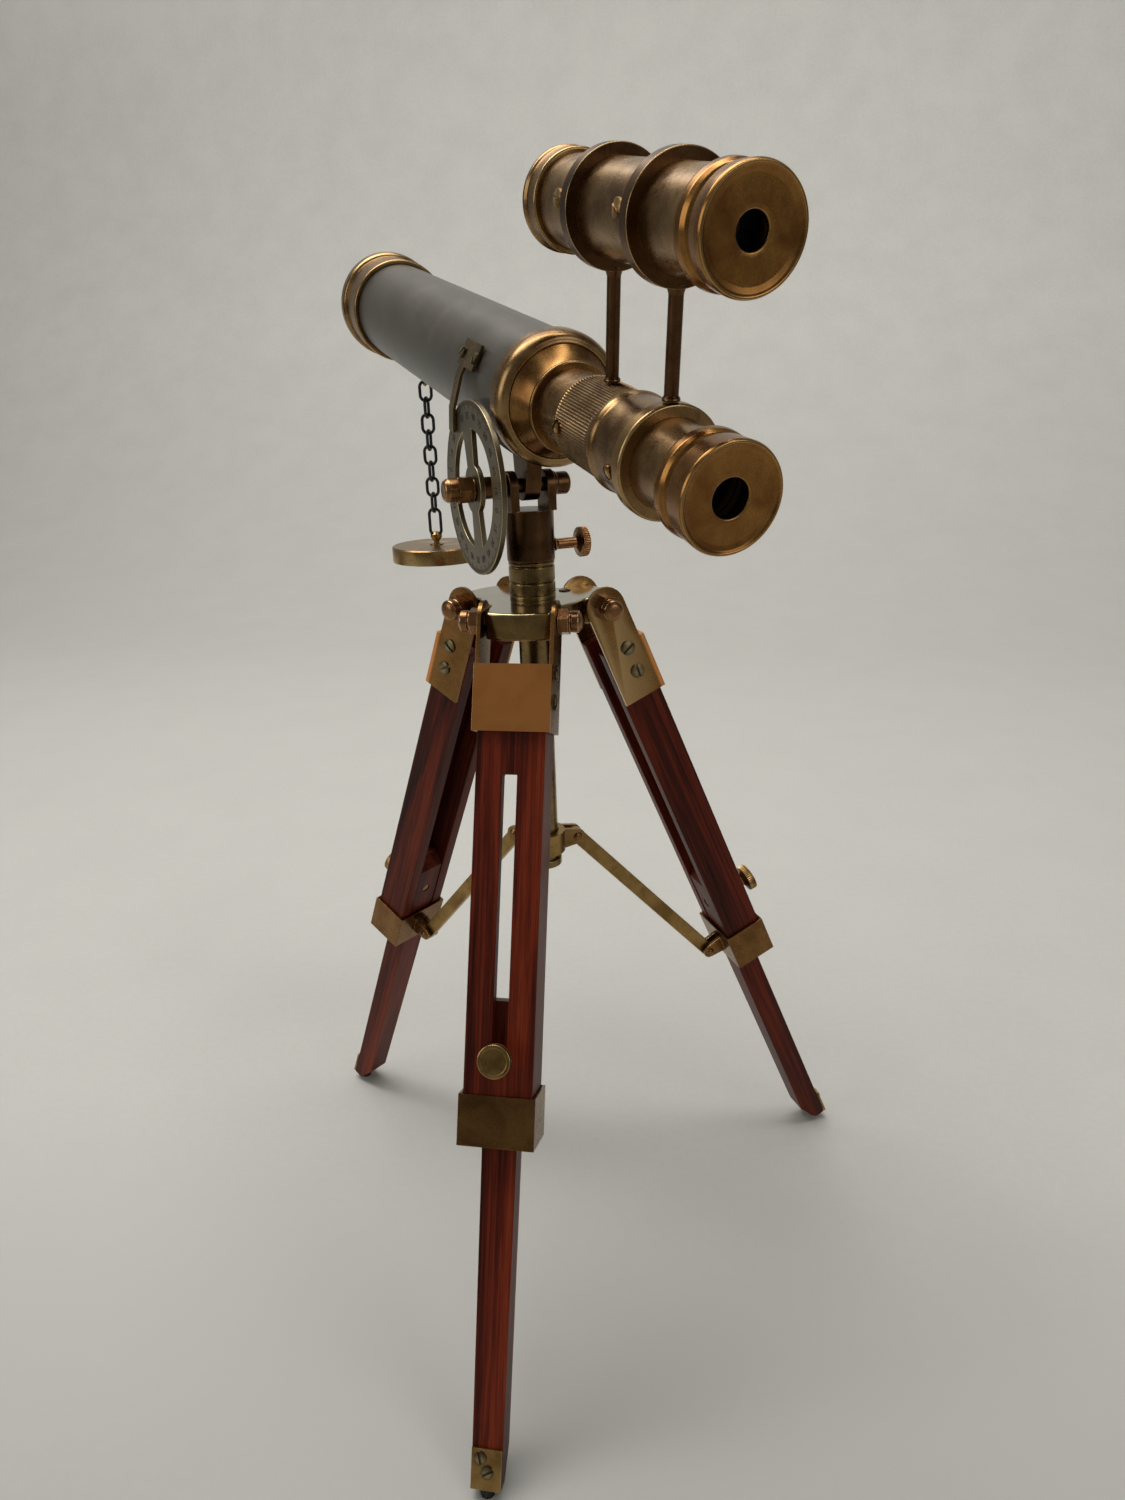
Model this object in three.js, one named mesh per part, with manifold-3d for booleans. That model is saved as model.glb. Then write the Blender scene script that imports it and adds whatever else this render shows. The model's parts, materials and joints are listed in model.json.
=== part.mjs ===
// Brass table telescope with a finder, on a folding wooden tripod. Millimetres, +Z up.
// The tripod axis is vertical; each leg, the fork and the tube have a group of their own,
// so that a piece is drawn in the frame in which its maker would turn or saw it.
import * as THREE from "three";
import { mergeVertices } from "three/addons/utils/BufferGeometryUtils.js";
import Module from "manifold-3d";

const wasm = await Module();
wasm.setup();

// ---------------------------------------------------------------- clearances
const SEAT = 0.3; // between pieces that are screwed, glued or pressed together
const RUN = 0.4; // between pieces that slide or turn on each other

// ---------------------------------------------------------------- tripod
const PIVOT_RADIUS = 24.5; // leg bolts from the tripod axis
const LEG_SPLAY = THREE.MathUtils.degToRad(22.8);
const LEG_NAMES = ["front", "right", "left"];
const LEG_LENGTH = 304.5; // bolt to the sawn end of the lower leg
const FOOT_PIN_STANDS = 3.572; // how far the pin's middle stands below the sawn end
const PIVOT_HEIGHT = (LEG_LENGTH + FOOT_PIN_STANDS) * Math.cos(LEG_SPLAY); // leg bolts above the ground
const WOOD_WIDTH = 25;
const WOOD_DEPTH = 16.4;
const WOOD_TOP = 18; // bolt to the top of the wood
const BOARD = 5; // outer board, which carries the slot
const SLOT_WIDTH = 5.4;
const SLOT_TOP = 56;
const LOWER_WIDTH = 13;
const LOWER_CHAMFER = 5;
const FOOT_WIDTH = 10.8;
const FOOT_BEVEL = 5.5; // taken off the inner side of the foot
const FOOT_BEVEL_LENGTH = 10;
const BAND_TOP = 168;
const SLOT_END = BAND_TOP - 10;
const LOWER_TOP = BAND_TOP - 31.5;
const BAND_LENGTH = 18;
const BAND_SHEET = 1;
const LUG_DROP = 9; // band top to the strut rivet
const LUG_REACH = 7; // band to the strut rivet
const CAP_TOP = 16.7; // bolt to the top of the web
const CAP_BOTTOM = 40.8;
const CAP_SHEET = 1.4;
const CHEEK_RADIUS = 7.8;
const BOLT_RADIUS = 2.4;
const NUT_RADIUS = 4.6;
const NUT_HEX = 3.8;
const NUT_DOME = 4.8;
const KNOB_DROP = BAND_TOP - 13.5; // bolt to the clamp screw
const KNOB_RADIUS = 5.9;
const KNOB_HEAD = 3.4;
const KNOB_NECK = 4.6;
const KNOB_SCREW_RADIUS = 1.8;
const FOOT_PLATE_LENGTH = 14;
const FOOT_PLATE_SHEET = 1;
const FOOT_PIN_RADIUS = 2.7;
const FOOT_PIN_SHANK = 8;
const FOOT_SHANK_RADIUS = 1.3;
const FOOT_PIN_TURN_IN = 3.6; // pin axis from the outer face of the lower leg

// ---------------------------------------------------------------- spreader
const COLUMN_RADIUS = 6.2;
const HUB_HEIGHT = PIVOT_HEIGHT - 98.5;
const COLUMN_END = HUB_HEIGHT - 10.5;
const COLUMN_NUT = 3;
const COLUMN_NUT_RADIUS = COLUMN_RADIUS + 1.2;
const HUB_RADIUS = COLUMN_RADIUS + 3;
const HUB_LENGTH = 9;
const HUB_PIVOT = HUB_RADIUS + 5; // strut pins from the tripod axis
const STRUT_WIDTH = 6;
const STRUT_SHEET = 2.4;
const EAR_SHEET = 1.7;
const PIN_RADIUS = 1.2;

// ---------------------------------------------------------------- head
const PLATE_THICK = 10;
const PLATE_ABOVE_BOLT = 4;
const PLATE_RADIUS = 20.3;
const LOBE_REACH = PIVOT_RADIUS + 6.5;
const LOBE_ROUND = 6;
const STUB_RADIUS = 8.8;
const STUB_HEIGHT = 14;
const STUB_GROOVES = [6.4, 12.6];
const PINTLE_RADIUS = 5;
const PINTLE_HEIGHT = 12;
const SLEEVE_RADIUS = STUB_RADIUS + 0.3;
const SLEEVE_HEIGHT = 19;
const SWIVEL_ANGLE = THREE.MathUtils.degToRad(33);
const LUG_SHEET = 3.5;
const LUG_HALF_WIDTH = 5.5;
const AXLE_ABOVE_SLEEVE = 8.6;
const AXLE_RADIUS = 2.6;
const BLADE_THICK = 6;
const SPACER_RADIUS = AXLE_RADIUS + 1.4;
const AXLE_NUT_RADIUS = AXLE_RADIUS + 2;
const RIGHT_NUT_LENGTH = 9;
const LEFT_NUT_HEX = 6;
const LEFT_NUT_DOME = 5;
const THUMB_RISE = 5; // above the lower end of the sleeve
const THUMB_RADIUS = 5.7;
const THUMB_HEAD = 3.2;
const THUMB_STEM = 10.6; // sleeve to the head of the thumbscrew
const THUMB_STEM_RADIUS = 1.6;

// ---------------------------------------------------------------- tube, as distances from the tilt axle
const TUBE_TILT = THREE.MathUtils.degToRad(12);
const BARREL_RADIUS = 21.4;
const TUBE_RISE = BARREL_RADIUS + 12; // tube axis above the tilt axle
const TUBE_SHIFT = 4; // tube axis to the right of the fork
const BARREL_WALL = 1.5;
const BARREL_REAR = -9;
const BARREL_FRONT = 203;
const CELL_REAR = BARREL_FRONT - 17.3;
const CELL_FRONT = BARREL_FRONT + 8;
const CELL_WALL = 1.4;
const CELL_RIM = BARREL_RADIUS + 3.3;
const CELL_RIM_LENGTH = 6.5;
const CAP_SEAT_RADIUS = BARREL_RADIUS + 1.6;
const DRAW_RADIUS = 13;
const BELL_RIM = BARREL_RADIUS + 1.7;
const BELL_RIM_REAR = BARREL_REAR - 5;
const BELL_LIP = DRAW_RADIUS + 2.4;
const BELL_REAR = BARREL_REAR - 19;
const DRAW_WALL = 1.3;
const DRAW_FRONT = 34;
const DRAW_REAR = -84;
const KNURL_FRONT = -44.6;
const KNURL_REAR = -71.8;
const KNURL_RADIUS = DRAW_RADIUS + 1.4;
const BEAD_RADIUS = DRAW_RADIUS + 2.5;
const COLLAR_RADIUS = DRAW_RADIUS + 1.7;
const FLANGE_FRONT = -92;
const FLANGE_REAR = -97;
const FLANGE_RADIUS = DRAW_RADIUS + 3.7;
const EYE_TUBE_REAR = -119;
const CUP_FRONT = -114.6;
const CUP_REAR = -130.2;
const CUP_RADIUS = DRAW_RADIUS + 2.4;
const EYE_HOLE = 5.4;
const EYE_WALL = 4; // thickness of the eye disc
const SADDLE_SHEET = 2;
const SADDLE_REAR = BARREL_REAR + 2;
const SADDLE_FRONT = 27;
const SADDLE_HALF_ANGLE = THREE.MathUtils.degToRad(42);

// ---------------------------------------------------------------- finder
const FINDER_RADIUS = 12.8;
const FINDER_RISE = BARREL_RADIUS + FINDER_RADIUS + 27.1; // finder axis above the tube axis
const FINDER_LEAN = THREE.MathUtils.degToRad(3.5); // of the posts, to the left
const FINDER_WALL = 1.2;
const FINDER_FRONT = -26;
const FINDER_REAR = -116.6;
const FINDER_CELL_FRONT = FINDER_FRONT + 3;
const FINDER_CELL_REAR = FINDER_FRONT - 6.4;
const FINDER_CELL_RADIUS = FINDER_RADIUS + 1.9;
const POST_PLACES = [-57.6, -95];
const RING_LENGTH = 4.2;
const RING_RADIUS = FINDER_RADIUS + 3.3;
const POST_RADIUS = 2.05;
const FINDER_CUP_REAR = FINDER_REAR - 13.4;
const FINDER_CUP_RADIUS = FINDER_RADIUS + 1.8;
const FINDER_SPIGOT = 24; // length of the sliding spigot inside the finder tube
const FINDER_HOLE = 4.3;
const FINDER_HOLE_WALL = 3;

// ---------------------------------------------------------------- altitude dial
const DIAL_RADIUS = 30.9;
const DIAL_RING = 9.8;
const DIAL_SHEET = 2;
const DIAL_HUB = 10;
const DIAL_BAR = 7.5;
const DIAL_BAR_LEAN = THREE.MathUtils.degToRad(-20);
const DIAL_GAP = 0.5; // from the rim of the bell
const STRAP_WIDTH = 5;
const STRAP_SHEET = 1.1;
const STRAP_TAB = 9.5;
const STRAP_TAB_LENGTH = 16; // along the tube
const STRAP_TAB_PLACE = 18; // its middle, along the tube
const STRAP_TAB_RISE = 0.3; // off the barrel at the middle of the tab
const STRAP_TAB_ANGLE = THREE.MathUtils.degToRad(25); // above the side of the barrel
const STRAP_FOOT_ANGLE = THREE.MathUtils.degToRad(49); // round the dial, from the top to the front

// ---------------------------------------------------------------- chain and lens cap
const CHAIN_PLACE = BARREL_FRONT - 56;
const WIRE = 0.75;
const LINK_WIDTH = 7.2;
const LINK_LENGTH = 10.5;
const LINKS_UPPER = 4;
const LINKS_LOWER = 4;
const RING_STRETCH = 1.4; // how much longer the last ring is than a link
const EYE_RING = 2.7;
const LENS_CAP_DEPTH = 7.5;
const LENS_CAP_WALL = 1.6;
const LENS_CAP_KNOB = 2.9;
const CAP_SWING = THREE.MathUtils.degToRad(20); // each way on its ring

// ---------------------------------------------------------------- finishes
const finish = (color, roughness, metalness) => new THREE.MeshStandardMaterial({ color, roughness, metalness });
const brass = finish("#8a6a3f", 0.35, 1);
const darkBrass = finish("#4a3420", 0.4, 1);
const copperBrass = finish("#a5683f", 0.38, 1);
const greyBrass = finish("#8d8672", 0.5, 1);
const wood = finish("#5a1f16", 0.45, 0);
const leather = finish("#3c3c37", 0.6, 0);
const glass = finish("#1a2024", 0.05, 0);
const iron = finish("#2b2b2a", 0.5, 1);

// ---------------------------------------------------------------- solids
const FINE = 26; // sides of the large turned pieces
const MEDIUM = 16; // sides of knobs, nuts and lenses
const SMALL = 10; // sides of pins and bores
const ARC = 3; // steps in a quarter of a rounded outline

function solid(geometry) {
  const bare = geometry.index ? geometry.toNonIndexed() : geometry.clone();
  bare.deleteAttribute("normal");
  bare.deleteAttribute("uv");
  const merged = mergeVertices(bare, 1e-4);
  return new wasm.Manifold(
    new wasm.Mesh({
      numProp: 3,
      vertProperties: new Float32Array(merged.attributes.position.array),
      triVerts: new Uint32Array(merged.index.array),
    }),
  );
}

const join = (...geometries) => toGeometry(geometries.map(solid).reduce((all, next) => all.add(next)));
const cut = (body, ...tools) => toGeometry(tools.map(solid).reduce((left, tool) => left.subtract(tool), solid(body)));
const common = (first, second) => toGeometry(solid(first).intersect(solid(second)));

function toGeometry(manifold) {
  const made = manifold.getMesh();
  const points = new Float32Array(made.numVert * 3);
  for (let i = 0; i < made.numVert; i++) {
    points.set(made.vertProperties.subarray(i * made.numProp, i * made.numProp + 3), i * 3);
  }
  const geometry = new THREE.BufferGeometry();
  geometry.setAttribute("position", new THREE.BufferAttribute(points, 3));
  geometry.setIndex(new THREE.BufferAttribute(new Uint32Array(made.triVerts), 1));
  return geometry;
}

function node(parent, name, geometry, material) {
  const flat = geometry.index ? geometry.toNonIndexed() : geometry;
  flat.computeVertexNormals();
  const mesh = new THREE.Mesh(flat, material);
  mesh.name = name;
  parent.add(mesh);
  return mesh;
}

function frame(parent, name) {
  const group = new THREE.Group();
  group.name = name;
  parent.add(group);
  return group;
}

// A block between two corners.
function block([x0, y0, z0], [x1, y1, z1]) {
  const box = new THREE.BoxGeometry(Math.abs(x1 - x0), Math.abs(y1 - y0), Math.abs(z1 - z0));
  return box.translate((x0 + x1) / 2, (y0 + y1) / 2, (z0 + z1) / 2);
}

// Turned pieces: [radius, station] points, closed on themselves or on the axis.
function turnedOnZ(profile, sides = FINE) {
  const outline = profile.map(([radius, station]) => new THREE.Vector2(radius, station));
  if (THREE.ShapeUtils.area(outline) < 0) outline.reverse();
  if (outline[0].x > 0 || outline.at(-1).x > 0) outline.push(outline[0].clone());
  return new THREE.LatheGeometry(outline, sides).rotateX(Math.PI / 2);
}

const turnedOnX = (profile, sides) => turnedOnZ(profile, sides).rotateY(Math.PI / 2);
const turnedOnY = (profile, sides) => turnedOnZ(profile, sides).rotateX(-Math.PI / 2);
const rodOnX = (radius, x0, x1, sides = SMALL) => turnedOnX([[0, x0], [radius, x0], [radius, x1], [0, x1]], sides);
const rodOnY = (radius, y0, y1, sides = SMALL) => turnedOnY([[0, y0], [radius, y0], [radius, y1], [0, y1]], sides);
const rodOnZ = (radius, z0, z1, sides = SMALL) => turnedOnZ([[0, z0], [radius, z0], [radius, z1], [0, z1]], sides);

// A flat outline with its thickness from `low` to `high` along Z, X or Y.
function plateOnZ(shape, low, high, curveSegments = ARC) {
  const options = { depth: high - low, bevelEnabled: false, curveSegments };
  return new THREE.ExtrudeGeometry(shape, options).translate(0, 0, low);
}
// On X the outline's own x runs along Y and its y along Z.
const plateOnX = (shape, low, high, curveSegments) =>
  plateOnZ(shape, low, high, curveSegments).applyMatrix4(new THREE.Matrix4().set(0, 0, 1, 0, 1, 0, 0, 0, 0, 1, 0, 0, 0, 0, 0, 1));
// On Y the outline's own x runs along X and its y along Z.
const plateOnY = (shape, low, high, curveSegments) =>
  plateOnZ(shape, low, high, curveSegments).rotateX(Math.PI / 2).translate(0, low + high, 0);

function polygon(points) {
  return new THREE.Shape(points.map(([x, y]) => new THREE.Vector2(x, y)));
}

// A bar with a round end of `radius` about the origin, which widens to `halfWidth` at `length` below it.
function tongue(radius, halfWidth, length) {
  const shape = new THREE.Shape();
  shape.moveTo(-halfWidth, -length);
  shape.lineTo(halfWidth, -length);
  shape.lineTo(radius, 0);
  shape.absarc(0, 0, radius, 0, Math.PI, false);
  shape.closePath();
  return shape;
}

// ---------------------------------------------------------------- the stand
const telescope = new THREE.Group();

const plateTop = PIVOT_HEIGHT + PLATE_ABOVE_BOLT;
const plateBottom = plateTop - PLATE_THICK;
const lobeHalf = WOOD_WIDTH / 2;
const cheekInner = lobeHalf + SEAT;
const cheekOuter = cheekInner + CAP_SHEET;

// Turns a group so that its +Y points outwards along a leg.
const legTurn = (index) => Math.PI + (index * 2 * Math.PI) / 3;

function roundedLobe() {
  const shape = new THREE.Shape();
  shape.moveTo(-lobeHalf, 0);
  shape.lineTo(lobeHalf, 0);
  shape.lineTo(lobeHalf, LOBE_REACH - LOBE_ROUND);
  shape.absarc(lobeHalf - LOBE_ROUND, LOBE_REACH - LOBE_ROUND, LOBE_ROUND, 0, Math.PI / 2, false);
  shape.absarc(LOBE_ROUND - lobeHalf, LOBE_REACH - LOBE_ROUND, LOBE_ROUND, Math.PI / 2, Math.PI, false);
  shape.closePath();
  return shape;
}

function buildHead() {
  const legs = LEG_NAMES.map((_, index) => legTurn(index));
  const lobes = legs.map((turn) => plateOnZ(roundedLobe(), plateBottom, plateTop).rotateZ(turn));
  const bores = legs.map((turn) =>
    rodOnX(BOLT_RADIUS + SEAT, -cheekOuter, cheekOuter).translate(0, PIVOT_RADIUS, PIVOT_HEIGHT).rotateZ(turn),
  );
  const body = join(rodOnZ(PLATE_RADIUS, plateBottom, plateTop, FINE), ...lobes);
  node(telescope, "head_plate", cut(body, ...bores), greyBrass);

  legs.forEach((turn, index) => {
    const bolt = turnedOnX(boltProfile(cheekOuter + SEAT), SMALL).translate(0, PIVOT_RADIUS, PIVOT_HEIGHT);
    node(telescope, `${LEG_NAMES[index]}_pivot_bolt`, bolt.rotateZ(turn), copperBrass);
  });

  const stubTop = plateTop + STUB_HEIGHT;
  const groove = 0.5;
  const side = STUB_GROOVES.flatMap((height) => [
    [STUB_RADIUS, plateTop + height - groove],
    [STUB_RADIUS - groove, plateTop + height],
    [STUB_RADIUS, plateTop + height + groove],
  ]);
  const stub = [
    [0, plateTop],
    [STUB_RADIUS, plateTop],
    ...side,
    [STUB_RADIUS, stubTop],
    [PINTLE_RADIUS, stubTop],
    [PINTLE_RADIUS, stubTop + PINTLE_HEIGHT],
    [0, stubTop + PINTLE_HEIGHT],
  ];
  node(telescope, "post_stub", turnedOnZ(stub, MEDIUM), brass);

  const column = [
    [0, COLUMN_END],
    [COLUMN_NUT_RADIUS, COLUMN_END],
    [COLUMN_NUT_RADIUS, COLUMN_END + COLUMN_NUT],
    [COLUMN_RADIUS, COLUMN_END + COLUMN_NUT],
    [COLUMN_RADIUS, plateBottom],
    [0, plateBottom],
  ];
  node(telescope, "column", turnedOnZ(column, MEDIUM), brass);
}

// A through bolt with the same nut and domed end on each side, from the face at `grip`.
function boltProfile(grip) {
  const half = [
    [BOLT_RADIUS, grip],
    [NUT_RADIUS, grip],
    [NUT_RADIUS, grip + NUT_HEX],
    [NUT_RADIUS - 0.7, grip + NUT_HEX],
    [NUT_RADIUS - 0.7, grip + NUT_HEX + NUT_DOME - 0.8],
    [NUT_RADIUS - 1.5, grip + NUT_HEX + NUT_DOME],
    [0, grip + NUT_HEX + NUT_DOME],
  ];
  const mirrored = half.map(([radius, station]) => [radius, -station]).reverse();
  return [...mirrored, ...half];
}

// ---------------------------------------------------------------- legs, drawn with the bolt at the origin
const halfWidth = WOOD_WIDTH / 2;
const halfDepth = WOOD_DEPTH / 2;
const channelHalf = LOWER_WIDTH / 2 + RUN;
const lowerOuter = halfDepth - BOARD - RUN;
const lowerInner = -halfDepth + RUN;
const woodEnd = BAND_TOP + BAND_LENGTH - 0.5;
const lugDistance = BAND_TOP + LUG_DROP;
const lugDepth = halfDepth + SEAT + BAND_SHEET + LUG_REACH;

function buildCap(leg, name) {
  const web = block([-cheekOuter, halfDepth + SEAT, -CAP_BOTTOM], [cheekOuter, halfDepth + SEAT + CAP_SHEET, -CAP_TOP]);
  const cheek = (x) => {
    const plate = plateOnX(tongue(CHEEK_RADIUS, halfDepth, CAP_BOTTOM), x, x + CAP_SHEET, 2 * ARC);
    const skirt = block([x, 0, -CAP_BOTTOM], [x + CAP_SHEET, halfDepth + SEAT + CAP_SHEET, -CAP_TOP]);
    return join(plate, skirt);
  };
  const bore = rodOnX(BOLT_RADIUS + SEAT, -cheekOuter - 1, cheekOuter + 1);
  node(leg, `${name}_leg_cap`, cut(join(web, cheek(cheekInner), cheek(-cheekOuter)), bore), copperBrass);
}

function buildUpperLeg(leg, name) {
  const stock = block([-halfWidth, -halfDepth, -woodEnd], [halfWidth, halfDepth, -WOOD_TOP]);
  const channel = block([-channelHalf, -halfDepth - 1, -woodEnd - 1], [channelHalf, halfDepth - BOARD, -WOOD_TOP + 1]);
  const slot = polygon([
    [-SLOT_WIDTH / 2, -SLOT_END],
    [SLOT_WIDTH / 2, -SLOT_END],
    [SLOT_WIDTH / 2, -SLOT_TOP],
    [-SLOT_WIDTH / 2, -SLOT_TOP],
  ]);
  node(leg, `${name}_upper_leg`, cut(stock, channel, plateOnY(slot, -halfDepth, halfDepth + 1)), wood);
}

function buildBand(leg, name) {
  const innerX = halfWidth + SEAT;
  const innerY = halfDepth + SEAT;
  const top = -BAND_TOP;
  const bottom = -BAND_TOP - BAND_LENGTH;
  const outside = block([-innerX - BAND_SHEET, -innerY - BAND_SHEET, bottom], [innerX + BAND_SHEET, innerY + BAND_SHEET, top]);
  const inside = block([-innerX, -innerY, bottom - 1], [innerX, innerY, top + 1]);
  const gap = STRUT_SHEET / 2 + RUN;
  const earShape = tongue(STRUT_WIDTH / 2, STRUT_WIDTH / 2 + 0.8, LUG_REACH + 0.5);
  const ear = (x) =>
    plateOnX(earShape, x, x + EAR_SHEET).rotateX(Math.PI / 2).translate(0, -lugDepth, -lugDistance);
  node(leg, `${name}_leg_band`, join(cut(outside, inside), ear(gap), ear(-gap - EAR_SHEET)), brass);
}

function buildLowerLeg(leg, name) {
  const parts = frame(leg, `${name}_slide`);
  const front = polygon([
    [-LOWER_WIDTH / 2, -LOWER_TOP],
    [-LOWER_WIDTH / 2, -woodEnd],
    [-FOOT_WIDTH / 2, -LEG_LENGTH],
    [FOOT_WIDTH / 2, -LEG_LENGTH],
    [LOWER_WIDTH / 2, -woodEnd],
    [LOWER_WIDTH / 2, -LOWER_TOP],
  ]);
  const side = polygon([
    [lowerOuter, -LOWER_TOP],
    [lowerInner + LOWER_CHAMFER, -LOWER_TOP],
    [lowerInner, -LOWER_TOP - LOWER_CHAMFER],
    [lowerInner, -LEG_LENGTH + FOOT_BEVEL_LENGTH],
    [lowerInner + FOOT_BEVEL, -LEG_LENGTH],
    [lowerOuter, -LEG_LENGTH],
  ]);
  const blank = common(plateOnY(front, lowerInner, lowerOuter), plateOnX(side, -halfWidth, halfWidth));
  const pinY = lowerOuter - FOOT_PIN_TURN_IN;
  const screwHole = rodOnY(KNOB_SCREW_RADIUS + SEAT, lowerInner - 1, lowerOuter + 1).translate(0, 0, -KNOB_DROP);
  const pinHole = rodOnZ(FOOT_SHANK_RADIUS + SEAT, -LEG_LENGTH - 1, -LEG_LENGTH + FOOT_PIN_SHANK + SEAT);
  node(parts, `${name}_lower_leg`, cut(blank, screwHole, pinHole.translate(0, pinY, 0)), wood);

  const plateFace = lowerOuter + SEAT;
  const footHalf = FOOT_WIDTH / 2;
  const plate = block([-footHalf, plateFace, -LEG_LENGTH], [footHalf, plateFace + FOOT_PLATE_SHEET, -LEG_LENGTH + FOOT_PLATE_LENGTH]);
  node(parts, `${name}_foot_plate`, plate, brass);

  // The pin is ground off level with the floor when the legs stand open.
  const pinReach = 2 * FOOT_PIN_RADIUS + (PIVOT_HEIGHT / Math.cos(LEG_SPLAY) - LEG_LENGTH);
  const pin = turnedOnZ(
    [
      [0, -LEG_LENGTH + FOOT_PIN_SHANK],
      [FOOT_SHANK_RADIUS, -LEG_LENGTH + FOOT_PIN_SHANK],
      [FOOT_SHANK_RADIUS, -LEG_LENGTH - SEAT],
      [FOOT_PIN_RADIUS, -LEG_LENGTH - SEAT],
      [FOOT_PIN_RADIUS, -LEG_LENGTH - pinReach],
      [0, -LEG_LENGTH - pinReach],
    ],
    SMALL,
  ).translate(0, pinY, 0);
  const floor = block([-20, 0, -20], [20, PIVOT_HEIGHT, 0]).translate(0, 0, -PIVOT_HEIGHT).rotateX(-LEG_SPLAY);
  node(parts, `${name}_foot_pin`, cut(pin, floor), iron);

  const knob = frame(parts, `${name}_knob_turn`);
  knob.position.set(0, 0, -KNOB_DROP);
  const face = halfDepth + SEAT;
  const profile = [
    [0, lowerInner + RUN],
    [KNOB_SCREW_RADIUS, lowerInner + RUN],
    [KNOB_SCREW_RADIUS, face],
    [SLOT_WIDTH / 2 + 0.6, face],
    [KNOB_RADIUS - 1, face + KNOB_NECK],
    [KNOB_RADIUS, face + KNOB_NECK],
    [KNOB_RADIUS, face + KNOB_NECK + KNOB_HEAD - 0.5],
    [KNOB_RADIUS - 0.5, face + KNOB_NECK + KNOB_HEAD],
    [0, face + KNOB_NECK + KNOB_HEAD],
  ];
  node(knob, `${name}_clamp_knob`, turnedOnY(profile, MEDIUM), brass);
}

function buildLegs() {
  LEG_NAMES.forEach((name, index) => {
    const bearing = frame(telescope, `${name}_bearing`);
    bearing.rotation.z = legTurn(index);
    const leg = frame(bearing, `${name}_fold`);
    leg.position.set(0, PIVOT_RADIUS, PIVOT_HEIGHT);
    leg.rotation.x = LEG_SPLAY;
    buildCap(leg, name);
    buildUpperLeg(leg, name);
    buildBand(leg, name);
    buildLowerLeg(leg, name);
  });
}

// ---------------------------------------------------------------- spreader
const lugRadial = PIVOT_RADIUS + lugDistance * Math.sin(LEG_SPLAY) - lugDepth * Math.cos(LEG_SPLAY);
const lugHeight = PIVOT_HEIGHT - lugDistance * Math.cos(LEG_SPLAY) - lugDepth * Math.sin(LEG_SPLAY);
const strutLength = Math.hypot(lugRadial - HUB_PIVOT, HUB_HEIGHT - lugHeight);
const strutAngle = Math.atan2(HUB_HEIGHT - lugHeight, lugRadial - HUB_PIVOT);

function buildSpreader() {
  const hub = frame(telescope, "hub_slide");
  hub.position.z = HUB_HEIGHT;
  const ring = turnedOnZ(
    [
      [COLUMN_RADIUS + RUN, -HUB_LENGTH / 2],
      [HUB_RADIUS, -HUB_LENGTH / 2],
      [HUB_RADIUS, HUB_LENGTH / 2],
      [COLUMN_RADIUS + RUN, HUB_LENGTH / 2],
    ],
    MEDIUM,
  );
  const gap = STRUT_SHEET / 2 + RUN;
  const pieces = [ring];
  LEG_NAMES.forEach((_, index) => {
    const earShape = tongue(STRUT_WIDTH / 2 + 0.3, HUB_LENGTH / 2 - 0.2, HUB_PIVOT - HUB_RADIUS + 1);
    [gap, -gap - EAR_SHEET].forEach((x) => {
      const ear = plateOnX(earShape, x, x + EAR_SHEET).rotateX(-Math.PI / 2);
      pieces.push(ear.translate(0, HUB_PIVOT, 0).rotateZ(legTurn(index)));
    });
    const pin = rodOnX(PIN_RADIUS, -gap - EAR_SHEET - 0.8, gap + EAR_SHEET + 0.8);
    pieces.push(pin.translate(0, HUB_PIVOT, 0).rotateZ(legTurn(index)));
  });
  node(hub, "spreader_hub", join(...pieces), brass);

  LEG_NAMES.forEach((name, index) => {
    const bearing = frame(hub, `${name}_strut_bearing`);
    bearing.rotation.z = legTurn(index);
    const strut = frame(bearing, `${name}_strut_turn`);
    strut.position.y = HUB_PIVOT;
    strut.rotation.x = -strutAngle;
    const half = STRUT_WIDTH / 2;
    const shape = new THREE.Shape();
    shape.absarc(strutLength, 0, half, -Math.PI / 2, Math.PI / 2, false);
    shape.absarc(0, 0, half, Math.PI / 2, (3 * Math.PI) / 2, false);
    shape.closePath();
    const eye = new THREE.Path().absarc(0, 0, PIN_RADIUS + SEAT, 0, 2 * Math.PI, true);
    shape.holes.push(eye);
    node(strut, `${name}_strut`, plateOnX(shape, -STRUT_SHEET / 2, STRUT_SHEET / 2, 2 * ARC), brass);
  });
}

// ---------------------------------------------------------------- fork, which turns on the stub
const sleeveBottom = plateTop + STUB_HEIGHT + SEAT;
const sleeveTop = sleeveBottom + SLEEVE_HEIGHT;
const axleHeight = sleeveTop + AXLE_ABOVE_SLEEVE;
const lugInner = BLADE_THICK / 2 + RUN;
const lugOuter = lugInner + LUG_SHEET;
const dialInnerFace = BELL_RIM + DIAL_GAP - TUBE_SHIFT;
const dialOuterFace = dialInnerFace + DIAL_SHEET;

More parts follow.
